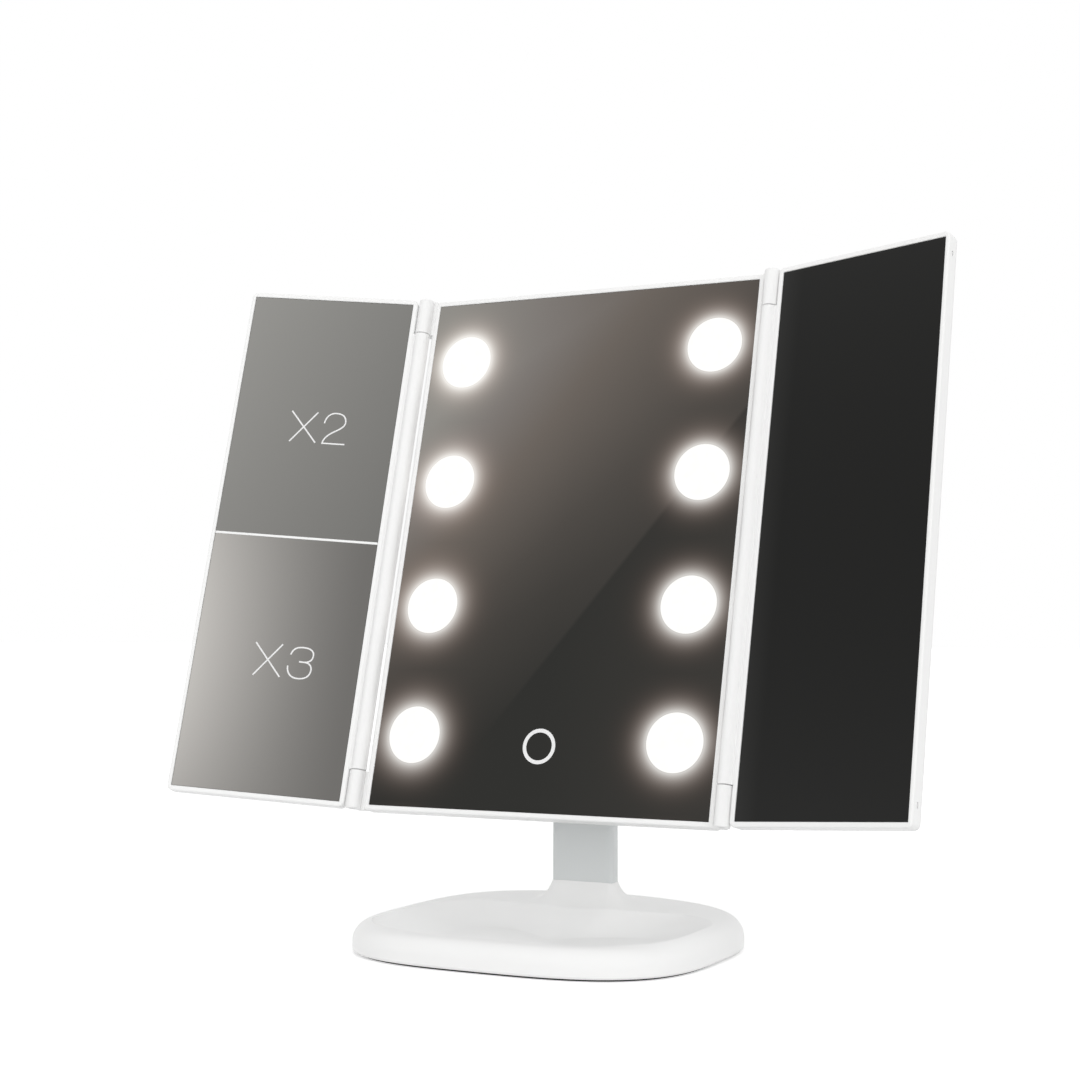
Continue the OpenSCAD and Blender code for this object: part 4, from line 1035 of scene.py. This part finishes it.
# ---------------------------------------------------------------- rear housing
DOOR_LOW, DOOR_HIGH = node_box("battery_door", HEAD)
DOOR_HINGE = joint_place("battery_door_hinge")
DOOR_GAP = 0.3
DOOR_HW = DOOR_HIGH.x - 1 + DOOR_GAP
DOOR_Z = (DOOR_HINGE.z - 0.75 - DOOR_GAP, DOOR_HIGH.z + DOOR_GAP)
DOOR_T = 1.5
CELL_FRONT = node_box("battery_1", HEAD)[0].y
CELL_BOX_HW = DOOR_HW - 1.4
CELL_BOX_Z = (DOOR_Z[0] + 1.4, DOOR_Z[1] - 1.4)
KNOB_LOW, KNOB_HIGH = node_box("switch_knob", HEAD)
KNOB_TRAVEL = JOINTS["power_switch"]["range_m"][1] / MM
USB_LOW, USB_HIGH = node_box("usb_socket", HEAD)
EAR_SCREWS = [(side * 26.7, z) for side in (-1, 1) for z in (-8.5, 8.5)]


def housing_shell():
    loops = [even_rect(FRAME_HW - 0.4, FRAME_HH - 0.4, FRAME_CORNER, FRAME_D)]
    for k, inset in enumerate((0, 0.07, 0.25, 0.5)):
        y = FRAME_D + 1.1 + 0.5 * k / 3
        loops.append(even_rect(FRAME_HW - 0.4 - inset, FRAME_HH - 0.4 - inset, FRAME_CORNER - inset, y))
    foot_r, edge_r, steps = 1.4, 3.0, 6
    foot_y, edge_y = FRAME_D + 1.6 + foot_r, HOUSING_BACK - edge_r
    for k in range(steps + 1):
        a = math.pi / 2 * k / steps
        grow = foot_r * (1 - math.sin(a))
        loops.append(even_rect(DECK_HW + grow, DECK_HH + grow, DECK_R + grow, foot_y - foot_r * math.cos(a)))
    for k in range(steps + 1):
        a = math.pi / 2 * k / steps
        inset, y = edge_r * (1 - math.cos(a)), edge_y + edge_r * math.sin(a)
        loops.append(even_rect(DECK_HW - inset, DECK_HH - inset, DECK_R - inset, y))
    inner = (DECK_HW - HOUSING_WALL, DECK_HH - HOUSING_WALL)
    room = plate(-inner[0], inner[0], -inner[1], inner[1], FRAME_D - 1, HOUSING_BACK - HOUSING_WALL,
                 DECK_R - HOUSING_WALL, 0.01, 1.2)
    return cut(loft(loops), room)


def make_housing():
    shell = housing_shell()
    spigot_hw, spigot_hh = POCKET_HW - 0.15, POCKET_HH - 0.5
    section = ((0, -1.4), (0, 0.5), (1.2, 0.5), (1.2, -1.4))
    spigot = loft([even_rect(spigot_hw - inset, spigot_hh - inset, 1, FRAME_D + y)
                   for inset, y in section], ring=True)
    wells = [rod(4.2, WELL_Y, HOUSING_BACK - 0.5, "Y", at, steps=32) for at in HOUSING_SCREWS]
    wells += [rod(3, HOUSING_BACK - 6.8, HOUSING_BACK - 0.5, "Y", at, steps=32) for at in EAR_SCREWS]
    wall = HOUSING_WALL
    cells = plate(-DOOR_HW - wall, DOOR_HW + wall, DOOR_Z[0] - 1.4, DOOR_Z[1] + 1.4,
                  FLOOR_BACK + 0.1, HOUSING_BACK - 0.5, 0.6, 0.1, 0.01)
    shell = union(shell, spigot, cells, *wells)
    out = HOUSING_BACK + 1
    cuts = [rod(SCREW_R + 0.15, WELL_Y - 1, HOUSING_BACK, "Y", at, steps=32) for at in HOUSING_SCREWS]
    lead_in = [(SCREW_HEAD_R + 0.2, WELL_Y + 1.4), (SCREW_HEAD_R + 0.2, HOUSING_BACK - 0.4),
               (SCREW_HEAD_R + 0.6, HOUSING_BACK), (SCREW_HEAD_R + 1.6, out)]
    cuts += [turned(lead_in, "Y", at, steps=48) for at in HOUSING_SCREWS]
    cuts += [rod(SCREW_R, HOUSING_BACK - 7.3, out, "Y", at, steps=32) for at in EAR_SCREWS]
    cuts.append(plate(-CELL_BOX_HW, CELL_BOX_HW, *CELL_BOX_Z, CELL_FRONT - 0.1, out, 0.6, 0.2, 0.01))
    cuts.append(plate(-DOOR_HW, DOOR_HW, *DOOR_Z, HOUSING_BACK - DOOR_T - 0.1, out, 0.8, 0.01, 0.01))
    pin_end = DOOR_HW + 1.1
    cuts.append(rod(0.55, -pin_end, pin_end, "X", (DOOR_HINGE.y, DOOR_HINGE.z), steps=24))
    cuts.append(plate(KNOB_LOW.x - 0.3, KNOB_HIGH.x + KNOB_TRAVEL + 0.3, KNOB_LOW.z - 0.3, KNOB_HIGH.z + 0.3,
                      HOUSING_BACK - wall - 1, out, 0.4, 0.01, 0.01))
    cuts.append(plate(USB_LOW.x - 0.3, USB_HIGH.x + 0.3, USB_LOW.y - 0.3, USB_HIGH.y + 0.3,
                      -DECK_HH - 1, -DECK_HH + wall + 1, 0.9, 0.01, 0.01, "Z"))
    piece("rear_housing_shell", cut(shell, *cuts), HEAD, "rear_housing")


def make_door():
    hw = DOOR_HW - DOOR_GAP
    body = plate(-hw, hw, DOOR_HINGE.z, DOOR_HIGH.z, HOUSING_BACK - DOOR_T, HOUSING_BACK, 0.6, 0.1, 0.25)
    barrel = rod(DOOR_T / 2, -hw, hw, "X", (DOOR_HINGE.y, DOOR_HINGE.z), 0.1, 0.1, 32)
    pins = rod(0.5, DOOR_LOW.x, DOOR_HIGH.x, "X", (DOOR_HINGE.y, DOOR_HINGE.z), 0.1, 0.1, 24)
    top = DOOR_Z[1] - 2
    ribs = [plate(-9, 9, top - 2 * i - 1, top - 2 * i, HOUSING_BACK - 0.3, HOUSING_BACK + 0.4,
                  0.45, 0.01, 0.25) for i in range(1, 5)]
    piece("battery_door_panel", union(body, barrel, pins, *ribs), HEAD, "battery_door")


def make_knob():
    cap_y = KNOB_HIGH.y - 0.4
    body = plate(KNOB_LOW.x, KNOB_HIGH.x, KNOB_LOW.z, KNOB_HIGH.z, KNOB_LOW.y, cap_y, 0.4, 0.1, 0.2)
    middle = (KNOB_LOW.x + KNOB_HIGH.x) / 2
    ribs = [plate(middle + i * 1.2 - 0.3, middle + i * 1.2 + 0.3, KNOB_LOW.z + 0.15, KNOB_HIGH.z - 0.15,
                  cap_y - 0.3, KNOB_HIGH.y, 0.25, 0.01, 0.2) for i in (-1.5, -0.5, 0.5, 1.5)]
    piece("switch_knob_cap", union(body, *ribs), HEAD, "switch_knob")


def make_usb():
    outer = (USB_LOW.x, USB_HIGH.x, USB_LOW.y, USB_HIGH.y)
    shell = plate(*outer, USB_LOW.z, USB_HIGH.z, 0.7, 0.1, 0.1, "Z")
    inner = (USB_LOW.x + 0.35, USB_HIGH.x - 0.35, USB_LOW.y + 0.35, USB_HIGH.y - 0.35)
    room = plate(*inner, USB_LOW.z - 1, USB_HIGH.z - 1, 0.45, 0.01, 0.01, "Z")
    piece("usb_socket_shell", cut(shell, room), HEAD, "usb_socket")
    y = (USB_LOW.y + USB_HIGH.y) / 2 + 0.2
    tongue = plate(USB_LOW.x + 1.2, USB_HIGH.x - 1.2, y - 0.3, y + 0.3, USB_LOW.z + 0.6, USB_HIGH.z - 0.9,
                   0.15, 0.1, 0.1, "Z")
    piece("usb_tongue", tongue, HEAD, "usb_socket", slot="black_plastic")


def make_cells():
    for number in range(1, 5):
        low, high = node_box(f"battery_{number}", HEAD)
        at = ((low.x + high.x) / 2, (low.y + high.y) / 2)
        r, shoulder = (high.x - low.x) / 2, high.z - 1.2
        profile = [(r - 1.2, low.z + 0.3), (r - 0.9, low.z), (r - 0.5, low.z), (r, low.z + 0.5),
                   (r, shoulder - 0.5), (r - 0.15, shoulder - 0.12), (r - 0.6, shoulder),
                   (r - 1.0, shoulder - 0.25), (1.95, shoulder - 0.25), (1.9, high.z - 0.25), (1.65, high.z)]
        piece(f"cell_{number}", turned(profile, "Z", at, steps=48), HEAD, f"battery_{number}")


# ---------------------------------------------------------------- tilt joint
EAR_LOW, EAR_HIGH = node_box("tilt_ear_right", HEAD)
PIVOT = joint_place("head_tilt")
EAR_T = 3.0
EAR_R = PIVOT.y - HOUSING_BACK
SHAFT_R = 2.5
BOLT_R = 4.2
NUT_R = 4.6
NUT_T = 3.4


def ear_solid():
    x0, x1 = EAR_LOW.x, EAR_LOW.x + EAR_T
    at = (PIVOT.y, PIVOT.z)
    cheek = rod(EAR_R, x0, x1, "X", at, 0.35, 0.35)
    neck = plate(HOUSING_BACK, PIVOT.y, -EAR_R, EAR_R, x0, x1, 0.05, 0.35, 0.35, "X")
    foot = plate(x0, EAR_HIGH.x, EAR_LOW.z, EAR_HIGH.z, HOUSING_BACK, HOUSING_BACK + 2.2, 2.2, 0.05, 0.5)
    screws = [at for at in EAR_SCREWS if at[0] > 0]
    holes = [rod(SCREW_R + 0.15, HOUSING_BACK - 1, HOUSING_BACK + 4, "Y", at, steps=32) for at in screws]
    bore = rod(SHAFT_R, x0 - 1, x1 + 1, "X", at)
    spot = rod(NUT_R + 0.3, x1, x1 + 5, "X", at)
    return cut(union(cheek, neck, foot), bore, spot, *holes)


def make_tilt():
    ear = ear_solid()
    mirrored = HEAD @ Matrix.Diagonal((-1, 1, 1, 1))
    piece("tilt_ear_left_bracket", copy_of(ear), mirrored, "tilt_ear_left")
    piece("tilt_ear_right_bracket", ear, HEAD, "tilt_ear_right")
    seat = HOUSING_BACK + 2.2
    screws = [screw(SCREW_R, SCREW_HEAD_R, 1.8, seat, HOUSING_BACK - 6.3, "Y", at) for at in EAR_SCREWS]
    piece("ear_screws_cross", gather(screws), HEAD, "ear_screws")
    screws = [screw(SCREW_R, SCREW_HEAD_R, 1.8, WELL_Y + 1.4, FLOOR_BACK + 0.8, "Y", at)
              for at in HOUSING_SCREWS]
    piece("housing_screws_cross", gather(screws), HEAD, "housing_screws")
    low, high = node_box("tilt_shaft", HEAD)
    at = (PIVOT.y, PIVOT.z)
    x0, x1 = low.x, high.x
    bolt = [(BOLT_R * math.cos(a), x0 + 2.0 - 2.0 * math.sin(a)) for a in (1.3, 1.05, 0.8, 0.5, 0.2, 0)]
    bolt += [(BOLT_R, x0 + 2.4), (BOLT_R - 0.15, x0 + 2.6), (SHAFT_R, x0 + 2.6), (SHAFT_R, x1 - 0.5),
             (SHAFT_R - 0.5, x1)]
    shaft = turned(bolt, "X", at)
    piece("tilt_bolt", cut(shaft, *cross_recess(2.4, -1.2, x0, "X", at)), HEAD, "tilt_shaft")
    nut_x = EAR_LOW.x + EAR_T
    flats = turned([(NUT_R, nut_x), (NUT_R, nut_x + NUT_T)], "X", at, steps=6)
    chamfer = turned([(NUT_R * 0.9, nut_x - 0.01), (NUT_R + 0.05, nut_x + 0.5),
                      (NUT_R + 0.05, nut_x + NUT_T - 0.5), (NUT_R * 0.9, nut_x + NUT_T + 0.01)], "X", at)
    nut = combine(flats, [chamfer], "INTERSECT")
    piece("tilt_nut", cut(nut, rod(SHAFT_R, nut_x - 1, nut_x + NUT_T + 1, "X", at)), HEAD, "shaft_nut")


# ---------------------------------------------------------------- floor and light
FLOOR_LIFT = 0.42
FLOOR_HALF = 12.0


def add_floor():
    """A pale floor that runs out of sight, and keeps the object's shadow."""
    corners = [(x * FLOOR_HALF, y * FLOOR_HALF, 0) for x, y in ((-1, -1), (1, -1), (1, 1), (-1, 1))]
    mesh = bpy.data.meshes.new("floor")
    mesh.from_pydata(corners, [], [(0, 1, 2, 3)])
    floor = bpy.data.objects.new("floor", mesh)
    bpy.context.scene.collection.objects.link(floor)
    g = Graph("floor")
    g.set(Base_Color=g.ramp(g.noise(3, 2), [(0.3, 0.86), (0.7, 0.88)]))
    g.set(Roughness=0.9, Specular_IOR_Level=0.0)
    rays = g.add("ShaderNodeLightPath")
    seen = g.math("MAXIMUM", rays.outputs["Is Camera Ray"], rays.outputs["Is Glossy Ray"])
    glow = g.add("ShaderNodeEmission", {"Color": grey(1), "Strength": g.math("MULTIPLY", seen, FLOOR_LIFT)})
    both = g.add("ShaderNodeAddShader", {0: g.shader.outputs[0], 1: glow.outputs[0]})
    output = next(n for n in g.tree.nodes if n.type == "OUTPUT_MATERIAL")
    g.feed(output.inputs["Surface"], both.outputs[0])
    mesh.materials.append(g.material)


AMBIENT = 0.64
KEY_POWER = 3
# each soft key light: degrees to the right of the front, degrees upward, and strength
KEYS = [(0, 5, 0.92), (60, 20, 0.8)]


def toward(turn, up):
    """The way to a light, from degrees to the right of the front and degrees upward."""
    turn, up = math.radians(turn), math.radians(up)
    return (math.sin(turn) * math.cos(up), -math.cos(turn) * math.cos(up), math.sin(up))


def add_world():
    """White to the eye and in reflections. Its soft light on the object comes most from the front."""
    world = bpy.data.worlds.new("world")
    world.use_nodes = True
    bpy.context.scene.world = world
    g = Graph("world", world)
    way = g.add("ShaderNodeTexCoord").outputs["Generated"]
    light = AMBIENT
    for turn, up, strength in KEYS:
        facing = g.add("ShaderNodeVectorMath", {0: way, 1: toward(turn, up)}, operation="DOT_PRODUCT")
        lobe = g.math("POWER", g.math("MAXIMUM", facing.outputs["Value"], 0.0), KEY_POWER)
        light = g.math("MULTIPLY_ADD", lobe, strength, light)
    rays = g.add("ShaderNodeLightPath")
    seen = g.math("MAXIMUM", rays.outputs["Is Camera Ray"], rays.outputs["Is Glossy Ray"])
    seen = g.math("MAXIMUM", seen, rays.outputs["Is Transmission Ray"])
    background = next(n for n in g.tree.nodes if n.type == "BACKGROUND")
    g.feed(background.inputs["Strength"], g.between(seen, 0, 1, light, 1.0))
    background.inputs["Color"].default_value = grey(1)


# ---------------------------------------------------------------- the scene
add_camera()
add_floor()
add_world()
dress_nodes()
make_base()
make_underside()
make_stem()
make_centre_frame()
make_centre_glass()
make_touch_ring()
make_hinge_pins()
make_wings()
make_marks()
make_housing()
make_door()
make_knob()
make_usb()
make_cells()
make_tilt()
bpy.context.scene.view_settings.view_transform = "Standard"
